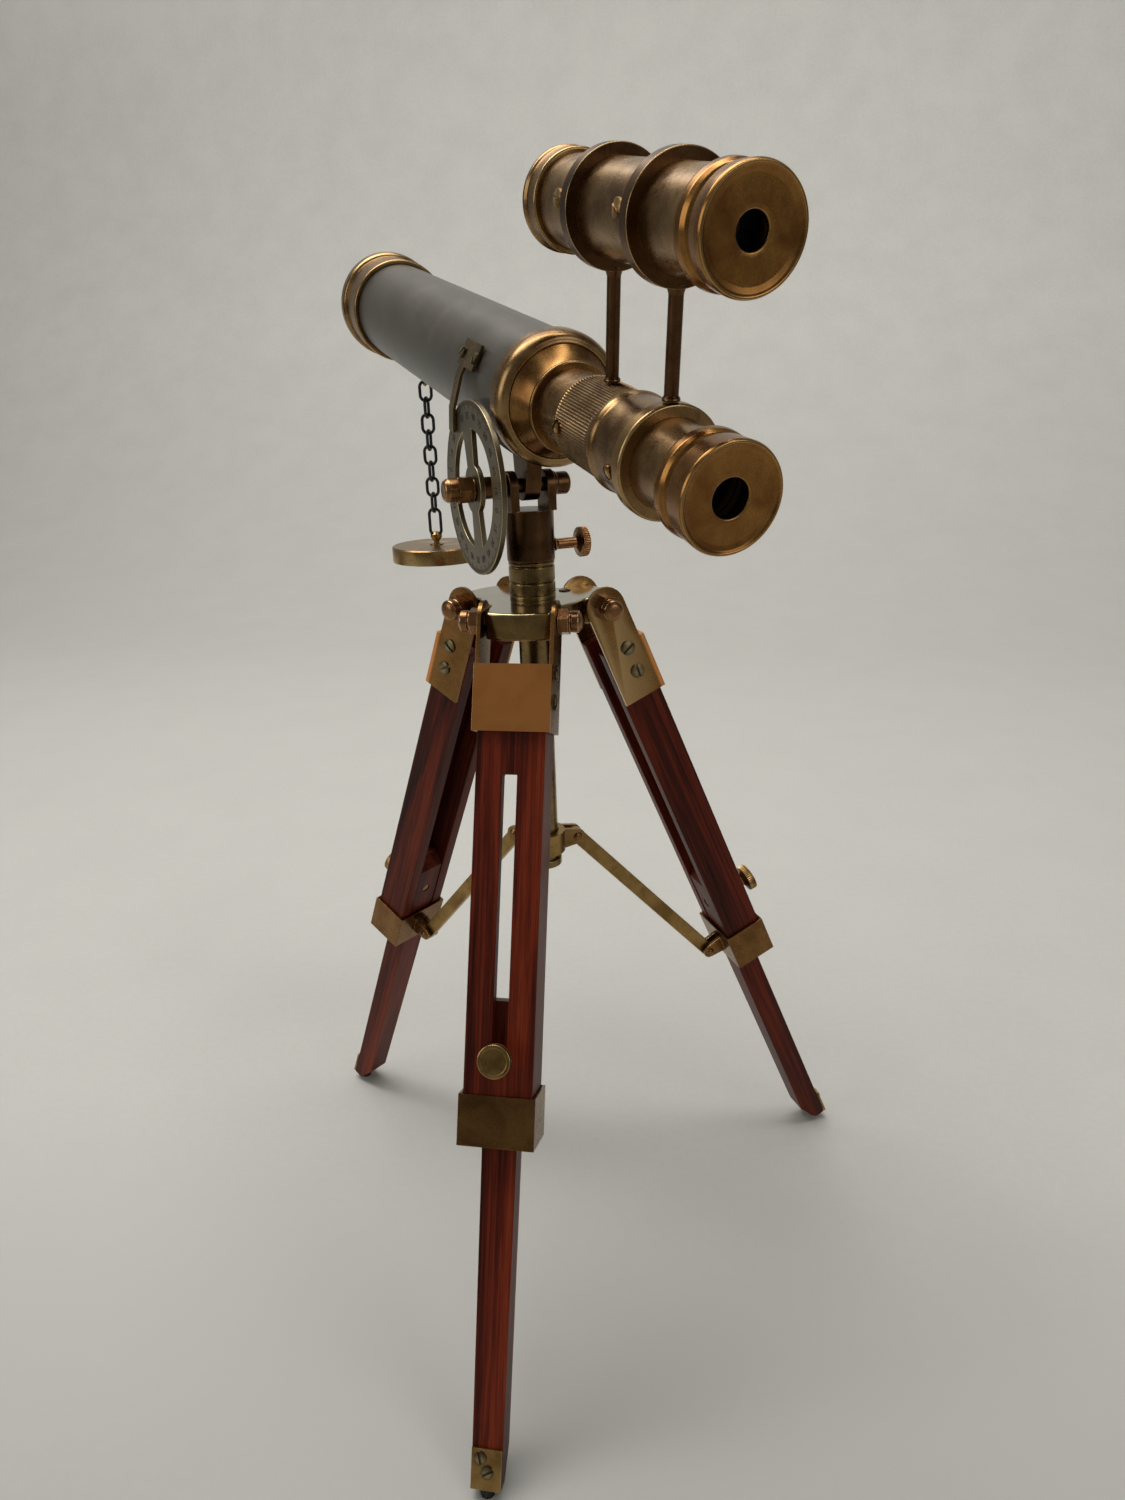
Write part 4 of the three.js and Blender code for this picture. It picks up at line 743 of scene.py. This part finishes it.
def build_leg(name):
    """Every piece of one leg, named after it."""
    leg, body = legs[name], f"{name}_leg"
    sleeve = f"{name}_lower_leg"
    solids = [
        ("slotted_board", "upper_leg", 0.45, woods[name], body, "wood"),
        ("sliding_leg", "lower_leg", 0.4, woods[name], sleeve, "wood"),
        ("folded_cap", "leg_cap", 0.35, cap_finish, body, "copper_brass"),
        ("folded_band", "leg_band", 0.3, satin_band, body, "brass"),
        ("toe_plate", "foot_plate", 0.2, old_gold, sleeve, "brass"),
        ("toe_pin", "foot_pin", 0.15, iron, sleeve, "iron"),
    ]
    for label, node, edge, finish, carrier, slot in solids:
        shape = eased(f"{name}_{node}", leg, edge)
        piece(f"{name}_{label}", [shape], finish, carrier, [f"{name}_{node}"])

    cheek, nut_long = size(f"{name}_leg_cap", leg)[1][0], 3.8
    node = f"{name}_pivot_bolt"
    dome_long = size(node, leg)[1][0] - cheek - nut_long - 0.3
    shapes = through_bolt(leg, cheek + 0.3, 4.6, nut_long, dome_long)
    shapes.append(shaft(leg.upon("x"), 2.4, -cheek - 1, cheek + 1))
    piece(f"{name}_hinge_bolt", shapes, copper_brass, "stand_head", [node])

    cap_screws = []
    for side, x, turn in (("x", cheek, 20), ("-x", -cheek, 70)):
        for drop, twist in ((-19.0, 0), (-29.5, 65)):
            spot = leg.moved(x=x, y=1.6, z=drop).upon(side)
            cap_screws.append(screw(spot, 2.9, 0.9, 0.45, turn + twist))
    piece(f"{name}_cap_screws", cap_screws, screw_brass, body)

    low, high = size(f"{name}_foot_plate", leg)
    toe_screws = []
    for x, rise, twist in ((2.2, 10.7, 15), (-0.4, 6.2, 120)):
        spot = leg.moved(x=x, y=high[1], z=low[2] + rise).upon("y")
        toe_screws.append(screw(spot, 2.3, 0.8, 0.4, twist))
    piece(f"{name}_toe_screws", toe_screws, screw_brass, sleeve)

    node = f"{name}_clamp_knob"
    low, high = size(node, leg)
    centre = leg.moved(z=(low[2] + high[2]) / 2).upon("y")
    wood_face, face, radius = size(f"{name}_upper_leg", leg)[1][1], high[1], (high[0] - low[0]) / 2
    head = knurled_knob(centre, wood_face + 0.3, 3.2, face - 3.4, face - 0.15, radius)
    stem = shaft(centre, 1.8, low[1], wood_face + 1)
    piece(f"{name}_knurled_knob", [head, stem], old_gold, f"{name}_knob", [node])


for name in LEGS:
    build_leg(name)

# %% [markdown]
# The spreader keeps the legs apart: a ring slides on the column, and three flat struts run
# from its ears to the ears of the leg bands. Rivets hold both ends of each strut.

# %% Spreader
STRUT_HALF, STRUT_THICK, EAR_FACE = 3.0, 1.2, 3.3  # half width, half thickness, ear's outside


def riveted(place):
    """The two heads of a rivet through a pair of ears."""
    sides = (("x", EAR_FACE), ("-x", -EAR_FACE))
    return [rivet(place.moved(x=x).upon(side), 1.9, 1.1) for side, x in sides]


hub_rivets = []
hub = eased("spreader_hub", stand, 0.25)
piece("spreader_ring", [hub], old_gold, "spreader", ["spreader_hub"])
for name in LEGS:
    node, half = f"{name}_strut", STRUT_HALF
    start = Place(joints[f"{name}_strut_turn"]["pos_m"], *legs[name].axes)
    low, high = size(node, start)
    far = np.array([0, high[1] - half, low[2] + half])
    across, reach = start.axes[0], (far / np.linalg.norm(far)) @ start.axes
    along = Place(start.origin, across, reach, np.cross(across, reach))
    length = size(node, along)[1][1]
    turn = np.linspace(-np.pi / 2, np.pi / 2, 20)
    tip = np.stack([half * np.sin(turn), length - half + half * np.cos(turn)], -1)
    butt = np.stack([-half * np.sin(turn), -half * np.cos(turn)], -1)
    flat = Place(along.origin, along.axes[2], along.axes[1], -along.axes[0])
    strut = plate(flat, [np.concatenate([tip, butt])], -STRUT_THICK, STRUT_THICK, 0.3)
    piece(f"{name}_flat_strut", [strut], old_gold, node, [node])
    hub_rivets += riveted(along)
    pin = along.moved(y=length - half)
    ends = riveted(pin) + [shaft(pin.upon("x"), 1.2, -EAR_FACE - 0.1, EAR_FACE + 0.1, 24)]
    piece(f"{name}_band_rivet", ends, copper_brass, f"{name}_leg")
piece("spreader_rivets", hub_rivets, copper_brass, "spreader")
print("strut length", round(float(length), 1), "mm")

# %% [markdown]
# ## Fork and tilt axle
# A sleeve turns on the stub, and its two cheeks hold the axle on which the telescope tilts.
# The axle runs out to the left through a spacer to the altitude dial, with a nut at each end.

# %% Fork
_, sleeve_radius, sleeve_low, _ = ring("fork_sleeve", stand)
axle_height = float((fork.origin - stand.origin)[2] / MM)
sleeve_top = axle_height - 8.6
socket, socket_top = PINTLE + 0.3, sleeve_low + 12.3
sleeve_profile = [[socket, sleeve_low], [sleeve_radius - 0.1, sleeve_low]]
sleeve_profile += [[sleeve_radius, sleeve_low + 0.6], [sleeve_radius, sleeve_top]]
sleeve_profile += [[0, sleeve_top], [0, socket_top], [socket, socket_top]]
shapes = [lathe(stand, sleeve_profile, 0.35, 96)]
lug_face = size("fork_sleeve", fork)[1][0]
LUG_RADIUS, LUG_FOOT, LUG_THICK = 5.5, -9.2, 3.5
turn = np.linspace(0, np.pi, 32)
arch = LUG_RADIUS * np.stack([np.cos(turn), np.sin(turn)], -1)
lug = np.concatenate([arch, [[-LUG_RADIUS, LUG_FOOT], [LUG_RADIUS, LUG_FOOT]]])
for low in (lug_face - LUG_THICK, -lug_face):
    shapes.append(plate(fork.upon("x"), [lug], low, low + LUG_THICK, 0.4))
piece("fork_casting", shapes, dark_brass, "fork", ["fork_sleeve"])

def along_x(node, place):
    """Where a node starts and ends along a place's x."""
    low, high = size(node, place)
    return low[0], high[0]


tip, left = along_x("left_axle_nut", fork)
inside, right = along_x("right_axle_nut", fork)
side, neck, rod = fork.upon("x"), -lug_face - 0.3, 2.6
spacer = [[0, left - 1], [4, left + 0.3], [4, neck], [rod, neck], [rod, right - 2], [0, right - 2]]
piece("axle_rod", [lathe(side, spacer, 0.3, 64)], dark_brass, "fork", ["tilt_axle"])
start, tip = -left, -tip
hex_nut = [[0, start], [5.2, start], [5.2, start + 5.7], [0, start + 5.7]]
dome = [[0, start + 5.5], [4.3, start + 5.5], [4.3, tip - 1.6]]
dome += [[3.4, tip - 0.2], [2.4, tip], [0, tip - 0.25]]
flats = hexagon(8.9, start - 1, start + 6)
nut = [lathe(fork.upon("-x"), hex_nut, 0.3, 96, flats), lathe(fork.upon("-x"), dome, 0.5, 64)]
piece("left_hexagon_nut", nut, copper_brass, "fork", ["left_axle_nut"])
cap_nut = [[0, inside], [4.6, inside], [4.6, inside + 3], [4.2, inside + 3.4], [4.2, right - 0.8]]
cap_nut += [[3.4, right], [1.8, right], [1.2, right - 0.9], [0, right - 1.0]]
round_nut = lathe(side, cap_nut, 0.4, 64)
piece("right_round_nut", [round_nut], dark_brass, "fork", ["right_axle_nut"])

tip, face = along_x("swivel_thumbscrew", thumb)
lock = thumb.upon("x")
head = knurled_knob(lock, sleeve_radius + 0.2, 2.6, face - 3.2, face - 0.2, 5.7, 40)
stem = shaft(lock, 1.6, tip, face - 2)
piece("swivel_lock_screw", [head, stem], copper_brass, "thumbscrew", ["swivel_thumbscrew"])
piece("tube_saddle", [eased("saddle", tilt, 0.4)], dark_brass, "tube", ["saddle"])
print("axle", round(axle_height, 1), "mm up")

# %% [markdown]
# ## The main tube
# Everything on the tube is turned about its axis. A profile is a short list of radii and
# stations; the helper rounds its corners, and the covering, the cell and the bell take theirs
# from the measured solids, so they sit where the CAD pieces do.

# %% Barrel, objective cell and bell
axis = tube.upon("y")
inner, skin, rear, front = ring("barrel", axis)
wall = [[inner, rear], [skin, rear], [skin, front], [inner, front]]
piece("leather_barrel", [lathe(axis, wall, 0.3, 160)], leather, "tube", ["barrel"])

_, rim, cell_rear, cell_front = ring("objective_ring", axis)
band, step = skin + 1.7, cell_front - 6.5
cell = [
    [skin + 0.2, cell_rear], [band + 0.1, cell_rear], [band + 0.5, cell_rear + 0.7],
    [band + 0.5, cell_rear + 1.5], [band, cell_rear + 2.0], [band, step - 0.8], [rim - 0.6, step - 0.2],
    [rim, step + 1.0], [rim, cell_front - 1.1], [rim - 0.8, cell_front], [skin + 2.0, cell_front],
    [skin + 1.6, cell_front - 0.5], [skin + 1.6, step + 1], [inner, step + 1],
    [inner, cell_front - 7.7], [skin + 0.2, cell_front - 7.7],
]
piece("objective_cell", [lathe(axis, cell, 0.35, 160)], satin_brass, "tube", ["objective_ring"])


def lens(place, radius, middle, thickness):
    """A lens with two spherical faces: z = middle +/- (thickness / 2 - sag rho^2)."""
    rho = np.linspace(0, 1, 14)
    bulge = thickness * (0.5 - 0.3 * rho**2)
    face = np.stack([radius * rho, middle + bulge], -1)
    back = np.stack([radius * rho, middle - bulge], -1)[::-1]
    return lathe(place, np.concatenate([face, back]), 0.05, 72, steps=1)


objective = lens(axis, inner - 0.3, front - 4.5, 6.5)
piece("objective_glass", [objective], lens_glass, "tube", ["objective_lens"])

_, bell_rim, bell_rear, _ = ring("bell", axis)
draw_radius = ring("draw_tube", draw.upon("y"))[1]
lip, shoulder, brow = draw_radius + 2.4, rear - 9.3, bell_rim - 3.0
bore = draw_radius - 0.1  # of everything that sits on the draw tube
turn, edge = np.linspace(0, 1, 12) * np.pi / 2, rear - 4.6
out, along = brow + (bell_rim - brow) * np.cos(turn), edge - (edge - shoulder) * np.sin(turn)
rim = [[inner - 0.3, rear - 0.3], [bell_rim - 0.5, rear - 0.3], [bell_rim, rear - 0.9]]
rim += np.stack([out, along], -1).tolist()
rim += [[brow - 0.7, shoulder - 0.3], [brow - 1.4, shoulder + 0.3], [inner - 1.8, shoulder + 1]]
rim += [[inner - 1.8, rear + 10], [inner - 0.3, rear + 10]]
turn, top, foot = np.linspace(0, 1, 18) * np.pi / 2, brow - 1.0, lip - 1.4
out = foot + (top - foot) * (1 - np.sin(turn)) ** 1.3
along = shoulder + 0.1 + np.sin(turn) * (bell_rear + 2.6 - shoulder)
funnel = [[bore, shoulder + 0.6], [top, shoulder + 0.6], *np.stack([out, along], -1).tolist()]
funnel += [[lip - 0.7, bell_rear + 2.1], [lip, bell_rear + 1.5], [lip, bell_rear + 0.5]]
funnel += [[lip - 0.4, bell_rear], [bore, bell_rear]]
piece("bell_rim", [lathe(axis, rim, 0.3, 160)], satin_brass, "tube")
piece("polished_cove", [lathe(axis, funnel, 0.2, 160)], bright_brass, "tube", ["bell"])
print("barrel", round(front - rear, 1), "mm long, bell rim radius", round(float(bell_rim), 1))

# %% [markdown]
# ## Draw tube and eyepiece
# The draw tube slides in the bell. On it sit a straight-knurled ring, a beaded collar with a
# flange, and the eyepiece tube with its dished cup.

# %% Draw tube pieces
pull = draw.upon("y")


def pipe(node, place):
    """A plain tube as thick and as long as its CAD node."""
    hollow, outside, back, head = ring(node, place)
    wall = [[hollow, back], [outside, back], [outside, head], [hollow, head]]
    return [lathe(place, wall, 0.15, 128)]


piece("sliding_draw_tube", pipe("draw_tube", pull), satin_brass, "draw", ["draw_tube"])
_, knurl_radius, knurl_back, knurl_front = ring("knurled_ring", pull)
FLUTES = 96
grip = [[bore, knurl_back], [knurl_radius, knurl_back]]
grip += [[knurl_radius, s] for s in np.linspace(knurl_back + 0.8, knurl_front - 1.6, 12)]
grip += [[knurl_radius - 0.15, knurl_front - 0.7], [knurl_radius - 0.7, knurl_front], [bore, knurl_front]]
fluted = knurl(FLUTES, 0.38, knurl_back + 1.0, knurl_front - 1.2, knurl_radius)
knurled = lathe(pull, grip, 0.2, 8 * FLUTES, fluted, 2)
piece("straight_knurled_ring", [knurled], satin_brass, "draw", ["knurled_ring"])

_, flange, flange_back, collar_front = ring("rear_collar", pull)
bead, collar = draw_radius + 2.5, draw_radius + 1.7
collar_profile = [
    [bore, collar_front], [bead - 0.9, collar_front], [bead - 0.2, collar_front - 0.7],
    [bead, collar_front - 1.6], [bead - 0.3, collar_front - 2.6], [collar + 0.1, collar_front - 3.5],
    [collar, collar_front - 4.2], [collar, flange_back + 5.2], [flange - 0.5, flange_back + 5.0],
    [flange, flange_back + 4.4], [flange, flange_back + 0.7], [flange - 0.5, flange_back],
    [bore, flange_back],
]
collar_shape = lathe(pull, collar_profile, 0.35, 144)
piece("beaded_collar", [collar_shape], satin_brass, "draw", ["rear_collar"])
piece("eyepiece_barrel", pipe("eyepiece_tube", pull), satin_brass, "draw", ["eyepiece_tube"])


def cup_profile(front_end, back_end, radius, hole, wall):
    """An eyepiece cup's outside: a bead, a groove, a flared rim, a face dished towards a small
    hole, and the hole itself."""
    return [
        [radius - 1.1, front_end], [radius - 0.25, front_end - 0.7], [radius, front_end - 1.6],
        [radius - 0.15, front_end - 3.6], [radius - 0.9, front_end - 4.9], [radius - 2.0, front_end - 5.7],
        [radius - 1.5, front_end - 6.6], [radius - 0.4, front_end - 7.6], [radius - 0.1, back_end + 2.6],
        [radius, back_end + 0.9], [radius - 0.35, back_end + 0.1], [radius - 0.9, back_end + 0.05],
        [radius - 1.5, back_end + 0.55], [radius - 3.0, back_end + 0.85], [hole + 1.2, back_end + 0.9],
        [hole + 0.25, back_end + 1.0], [hole, back_end + 1.3], [hole, back_end + wall],
    ]


eye_inner, _, eye_back, _ = ring("eyepiece_tube", pull)
_, cup_radius, cup_back, cup_front = ring("eyepiece_cup", pull)
cup_wall, seat = 4.0, eye_back - 0.3
eye_cup = [[bore, cup_front], *cup_profile(cup_front, cup_back, cup_radius, 5.4, cup_wall)]
eye_cup += [[eye_inner, cup_back + cup_wall], [eye_inner, seat], [bore, seat]]
cup_shape, eye_glass = lathe(pull, eye_cup, 0.25, 160), lens(pull, eye_inner - 0.3, eye_back + 3, 4)
piece("eyepiece_cup_turned", [cup_shape], disc_brass, "draw", ["eyepiece_cup"])
piece("eyepiece_glass", [eye_glass], lens_glass, "draw", ["eye_lens"])


def tube_screw(place, radius, station, degrees_left, size_mm, twist):
    """A screw standing on a tube: out along the radius that lies so many degrees left of up."""
    turned = place.turned(-degrees_left, about="y")
    spot = turned.moved(y=station, z=radius - 0.1)
    return screw(spot, size_mm, 1.2, 0.4, twist)


collar_screw = tube_screw(draw, collar, -86.0, 103, 2.2, 30)
knurl_screw = tube_screw(draw, knurl_radius, -48.0, 88, 2.2, -20)
piece("draw_tube_screws", [collar_screw, knurl_screw], bright_brass, "draw")
print("knurled ring", round(knurl_front - knurl_back, 1), "mm long with", FLUTES, "flutes")

# %% [markdown]
# ## Finder
# A second, smaller telescope rides above the eyepiece on two posts, each with a ring clamp.

# %% Finder pieces
sight = finder.upon("y")
finder_inner, finder_radius, finder_back, finder_front = ring("finder_tube", sight)
piece("finder_barrel", pipe("finder_tube", sight), satin_brass, "draw", ["finder_tube"])
_, nose, nose_back, nose_front = ring("finder_objective_ring", sight)
snug = finder_radius - 0.1
nose_profile = [
    [snug, nose_back], [nose - 0.8, nose_back], [nose - 0.3, nose_back + 0.5],
    [nose - 0.3, nose_back + 1.4], [nose - 0.7, nose_back + 2.0], [nose - 0.7, nose_front - 2.8],
    [nose, nose_front - 2.0], [nose, nose_front - 0.8], [nose - 0.7, nose_front],
    [finder_inner + 0.6, nose_front], [finder_inner, nose_front - 0.8],
    [finder_inner, nose_front - 2.7], [snug, nose_front - 2.7],
]
nose_shape = lathe(sight, nose_profile, 0.3, 144)
front_glass = lens(sight, finder_inner - 0.3, finder_front - 5, 3.5)
piece("finder_nose_ring", [nose_shape], satin_brass, "draw", ["finder_objective_ring"])
piece("finder_front_glass", [front_glass], lens_glass, "draw", ["finder_objective_lens"])
for name in ("front", "rear"):
    node = f"{name}_finder_bracket"
    (_, clamp_back, _), (_, clamp_front, outer) = size(node, finder)
    clamp = [[snug, clamp_back], [outer, clamp_back], [outer, clamp_front], [snug, clamp_front]]
    (_, _, foot), (_, _, top) = size(node, draw)
    post, seat = draw.moved(y=(clamp_back + clamp_front) / 2), top - 2 * outer
    rod = [[0, foot], [2.6, foot], [2.6, foot + 0.8], [2.05, foot + 1.4], [2.05, seat - 1.2]]
    rod += [[2.5, seat + 0.2], [2.5, seat + 1.2], [0, seat + 1.2]]
    shapes = [lathe(sight, clamp, 0.28, 144), lathe(post, rod, 0.3, 40)]
    piece(f"{name}_finder_clamp", shapes, ring_brass, "draw", [node])

(_, eye_end, _), (eye_radius, spigot_end, _) = size("finder_eyepiece", finder)
spigot, eye_start, eye_wall = finder_inner - 0.4, finder_back - 0.4, 3.0
eye_profile = [[spigot - 1.2, spigot_end], [spigot, spigot_end], [spigot, eye_start]]
eye_profile += cup_profile(eye_start, eye_end, eye_radius, 4.3, eye_wall)
eye_profile += [[spigot - 1.2, eye_end + eye_wall]]
eye_shape, eye_glass = lathe(sight, eye_profile, 0.25, 160), lens(sight, spigot - 1.5, eye_start - 3, 3.5)
piece("finder_eyepiece_turned", [eye_shape], disc_brass, "finder_eye", ["finder_eyepiece"])
piece("finder_eye_glass", [eye_glass], lens_glass, "finder_eye", ["finder_eye_lens"])
finder_screws = []
for station, twist in ((-46.8, 80), (-85.2, 60)):
    finder_screws.append(tube_screw(finder, finder_radius, station, 80, 2.5, twist))
piece("finder_screws", finder_screws, cap_gold, "draw")
print("finder", round(finder_front - eye_end, 1), "mm long")

# %% [markdown]
# ## Altitude dial
# The flat disc on the left carries a scale of degrees. Two D-shaped windows leave a bar for
# the axle, and the numerals and divisions are cut into the face and filled with black.

# %% Dial and its strap
dial_low, dial_high = size("altitude_dial", tilt)
dial = tilt.upon("-x")  # z to the left, seen from outside
dial_radius = (dial_high[1] - dial_low[1]) / 2
WINDOW, BAR_HALF, BOSS, HOLE = 21.1, 3.75, 8.9, 4.4
DIAL_LEAN = math.radians(20)


def arc(radius, start, end, count):
    """Points on a circle, from one angle to another."""
    angle = np.linspace(start, end, count)
    return np.stack([radius * np.cos(angle), radius * np.sin(angle)], -1)


def half_moon(sign):
    """A window between an arc of its radius and the bar, with the boss standing into it."""
    start, boss_start = math.asin((BAR_HALF + 1) / WINDOW), math.asin(0.42)
    rim = arc(WINDOW, start, np.pi - start, 40)
    boss = arc(BOSS, np.pi - boss_start, boss_start, 24)
    c, s = sign * math.cos(DIAL_LEAN), sign * math.sin(DIAL_LEAN)
    return np.concatenate([rim, boss]) @ np.array([[c, s], [-s, c]])


disc, hole = arc(dial_radius, 0, 2 * np.pi, 241)[:-1], arc(HOLE, 0, 2 * np.pi, 41)[:-1]
outlines = [disc, half_moon(1), half_moon(-1), hole]
dial_plate = plate(dial, outlines, -dial_high[0], -dial_low[0], 0.25)
dial_tones = (0.21, 0.175, 0.115), (0.14, 0.108, 0.066), (0.55, 0.43, 0.22)
dial_finish = brass("dial_brass", *dial_tones, rough=0.36, rings=0.0, clouds=0.06)
piece("altitude_plate", [dial_plate], dial_finish, "tube", ["altitude_dial"])


def numeral(text, height, radius, degrees, face):
    """Generic figures as a thin plate, their feet towards the middle of the dial."""
    curve = bpy.data.curves.new("figure", "FONT")
    curve.body, curve.size = text, height
    curve.align_x, curve.align_y, curve.extrude = "CENTER", "CENTER", 0.06
    return Shape(dial.turned(degrees).moved(y=radius, z=face), *drawn(curve))


def tick(length, width, radius, degrees, face):
    """A division line: a thin bar along the radius, ending at the given radius."""
    x, y, z = width / 2, length, 0.05
    box = np.array([[sx * x, sy * y, sz * z] for sx in (-1, 1) for sy in (-1, 0) for sz in (-1, 1)])
    sides = [(0, 1, 3, 2), (4, 6, 7, 5), (0, 4, 5, 1), (2, 3, 7, 6), (0, 2, 6, 4), (1, 5, 7, 3)]
    return Shape(dial.turned(degrees).moved(y=radius, z=face), box, sides)


marks, figures = [], []
for step in range(0, 360, 2):
    length = 2.6 if step % 10 == 0 else 1.3
    marks.append(tick(length, 0.2, dial_radius - 0.6, step, -dial_low[0]))
for step in range(0, 360, 15):
    degrees = min(step % 180, 180 - step % 180)
    figures.append(numeral(str(degrees), 3.5, dial_radius - 5.6, step, -dial_low[0]))
piece("dial_engraving", marks + figures, ink, "tube")

strap_low, strap_high = size("dial_strap", tilt)
piece("dial_bent_strap", [eased("dial_strap", tilt, 0.25)], olive_brass, "tube", ["dial_strap"])
station = tube.back(tilt.out([0, (strap_low[1] + strap_high[1]) / 2, 0]))[1]
TAB_LEFT, TAB_FACE = 66, skin + 1.9  # degrees left of up, radius of the tab's outside
strap_screws = []
for shift, twist in ((-6.5, 25), (6.5, -40)):
    spot = tube.turned(-TAB_LEFT, about="y").moved(y=station + shift, z=TAB_FACE)
    strap_screws.append(screw(spot, 2.1, 0.8, 0.36, twist))
piece("dial_strap_screws", strap_screws, screw_brass, "tube")
print(len(marks), "divisions and", len(figures), "numbers on the dial")

# %% [markdown]
# ## Chain and lens cap
# The chain hangs from an eye under the barrel. Each link passes through the next one, a
# quarter turn round, and the last long link goes through the eye on the lens cap's knob.

# %% Chain
piece("barrel_eye", [eased("chain_eye", tube, 0.2)], satin_brass, "tube", ["chain_eye"])
WIRE, LINK, LINK_WIDTH, LAST_LINK = 0.75, 10.5, 7.2, 14.7
SLACK = 0.06  # between a wire and the one it rests in


def chain(joint, lengths):
    """Links from a hinge down: each top wire rests in the bottom of the link above."""
    top = Place(joints[joint]["pos_m"], *stand.axes)
    shapes = []
    for count, length in enumerate(lengths):
        centre = top.moved(z=WIRE - length / 2)
        shapes.append(wire_ring(centre.turned(90 * count), length, LINK_WIDTH, WIRE))
        top = top.moved(z=4 * WIRE - length - SLACK)
    return shapes


upper, lower = chain("chain_plumb", [LINK] * 4), chain("chain_swing", [LINK] * 4 + [LAST_LINK])
piece("upper_links", upper, iron, "chain_top", ["upper_chain"])
piece("lower_links", lower, iron, "chain_bottom", ["lower_chain"])
hang = Place(joints["cap_swing"]["pos_m"], *stand.axes)
piece("lens_cap_turned", [eased("lens_cap", hang, 0.3)], cap_gold, "cap", ["lens_cap"])
print(len(upper) + len(lower), "links")

# %% [markdown]
# ## Light and camera
# A seamless pale sweep, one large soft light from above and to the left, a weaker one from
# the right, and a dim grey world that fills the shadows.

# %% Backdrop
def sweep(name, width, rise, floor_depth, back, bend, colour):
    """A floor that curves up into a wall: straight, a quarter circle of the bend, straight."""
    turn = np.linspace(0, np.pi / 2, 24)
    curve_y = back - bend + bend * np.sin(turn)
    curve_z = bend - bend * np.cos(turn)
    y = np.concatenate([[-floor_depth], curve_y, [back]])
    z = np.concatenate([[0], curve_z, [rise]])
    x = np.array([-width, width])
    points = np.stack(np.broadcast_arrays(x[None, :], y[:, None], z[:, None]), -1)
    mesh = bpy.data.meshes.new(name)
    mesh.from_pydata(points.reshape(-1, 3).tolist(), [], cells(len(y), 2, False, False))
    mesh.polygons.foreach_set("use_smooth", np.ones(len(mesh.polygons), bool))
    r = Recipe(name)
    spot = r.node("TexCoord", output="Object")
    # Painted shade and painted light in the paper's colour: darker towards the front of the floor, lighter
    # up the wall; the flecks are the paper's own.
    depth, height = r.ramp(r.part(spot, 1), -0.24, 0.02), r.ramp(r.part(spot, 2), 0.0, 0.5)
    fleck = 0.5 * r.noise(spot, 260, 2, 0.6) + 0.5 * r.noise(spot, 14, 4, 0.6)
    paper_and_painted_shade = r.blend(depth, times(0.70, colour), times(0.90, colour))
    paper_and_painted_shade = r.blend(height, paper_and_painted_shade, times(1.04, colour))
    paper_and_painted_shade = r.blend(r.ramp(fleck, 0.40, 0.62) * 0.35, paper_and_painted_shade, times(0.80, colour))
    mesh.materials.append(r.finish(base_color=paper_and_painted_shade, roughness=0.9, specular_ior_level=0.1))
    made = bpy.data.objects.new(name, mesh)
    bpy.context.scene.collection.objects.link(made)


sweep("paper_sweep", 4.0, 4.0, 3.0, 2.2, 1.2, (0.52, 0.508, 0.468))


def standing(x, y, z, place):
    """The matrix of an object with these directions at a place."""
    return Matrix([[x[i], y[i], z[i], place[i]] for i in range(3)] + [[0, 0, 0, 1]])


def soft_light(name, place, target, width, height, power):
    """An area light that faces a target: its -Z along target - place."""
    lamp = bpy.data.lights.new(name, "AREA")
    lamp.shape, lamp.size, lamp.size_y, lamp.energy = "RECTANGLE", width, height, power
    made = bpy.data.objects.new(name, lamp)
    z = np.array(place, float) - np.array(target, float)
    z /= np.linalg.norm(z)
    x = np.cross((0, 0, 1), z)
    x /= np.linalg.norm(x)
    y = np.cross(z, x)
    made.matrix_world = standing(x, y, z, place)
    bpy.context.scene.collection.objects.link(made)


middle = (0.0, 0.0, 0.25)
soft_light("overhead", (-0.35, 0.15, 1.55), middle, 1.3, 1.1, 14)
soft_light("wall_wash", (-0.3, 0.1, 2.7), (-0.1, 2.2, 1.0), 3.2, 0.8, 62)
soft_light("left_window", (-1.3, -0.9, 0.75), middle, 0.9, 0.9, 5)
soft_light("right_fill", (1.2, -0.9, 0.8), middle, 0.8, 0.9, 3)

world = bpy.data.worlds.new("studio")
world.use_nodes = True
background = world.node_tree.nodes["Background"].inputs
background["Color"].default_value, background["Strength"].default_value = (0.62, 0.61, 0.57, 1), 0.26
bpy.context.scene.world = world

# %% [markdown]
# The camera stands close in front of the stand and a little to its right, and looks down
# along the tube.

# %% Camera
camera = bpy.data.objects.new("camera", bpy.data.cameras.new("camera"))
right, up = (0.98485, 0.17016, -0.03336), (-0.02708, 0.34094, 0.93970)
backwards, eye = (0.17127, -0.92456, 0.34038), (0.07959, -0.39719, 0.36497)
camera.matrix_world = standing(right, up, backwards, eye)
lens_view = camera.data
lens_view.sensor_fit, lens_view.sensor_width, lens_view.sensor_height = "VERTICAL", 27.0, 36.0
lens_view.lens, lens_view.clip_start = 24.30, 0.02
bpy.context.scene.collection.objects.link(camera)
bpy.context.scene.camera = camera
bpy.context.scene.view_settings.view_transform = "Standard"

# %% End
print("scene built")
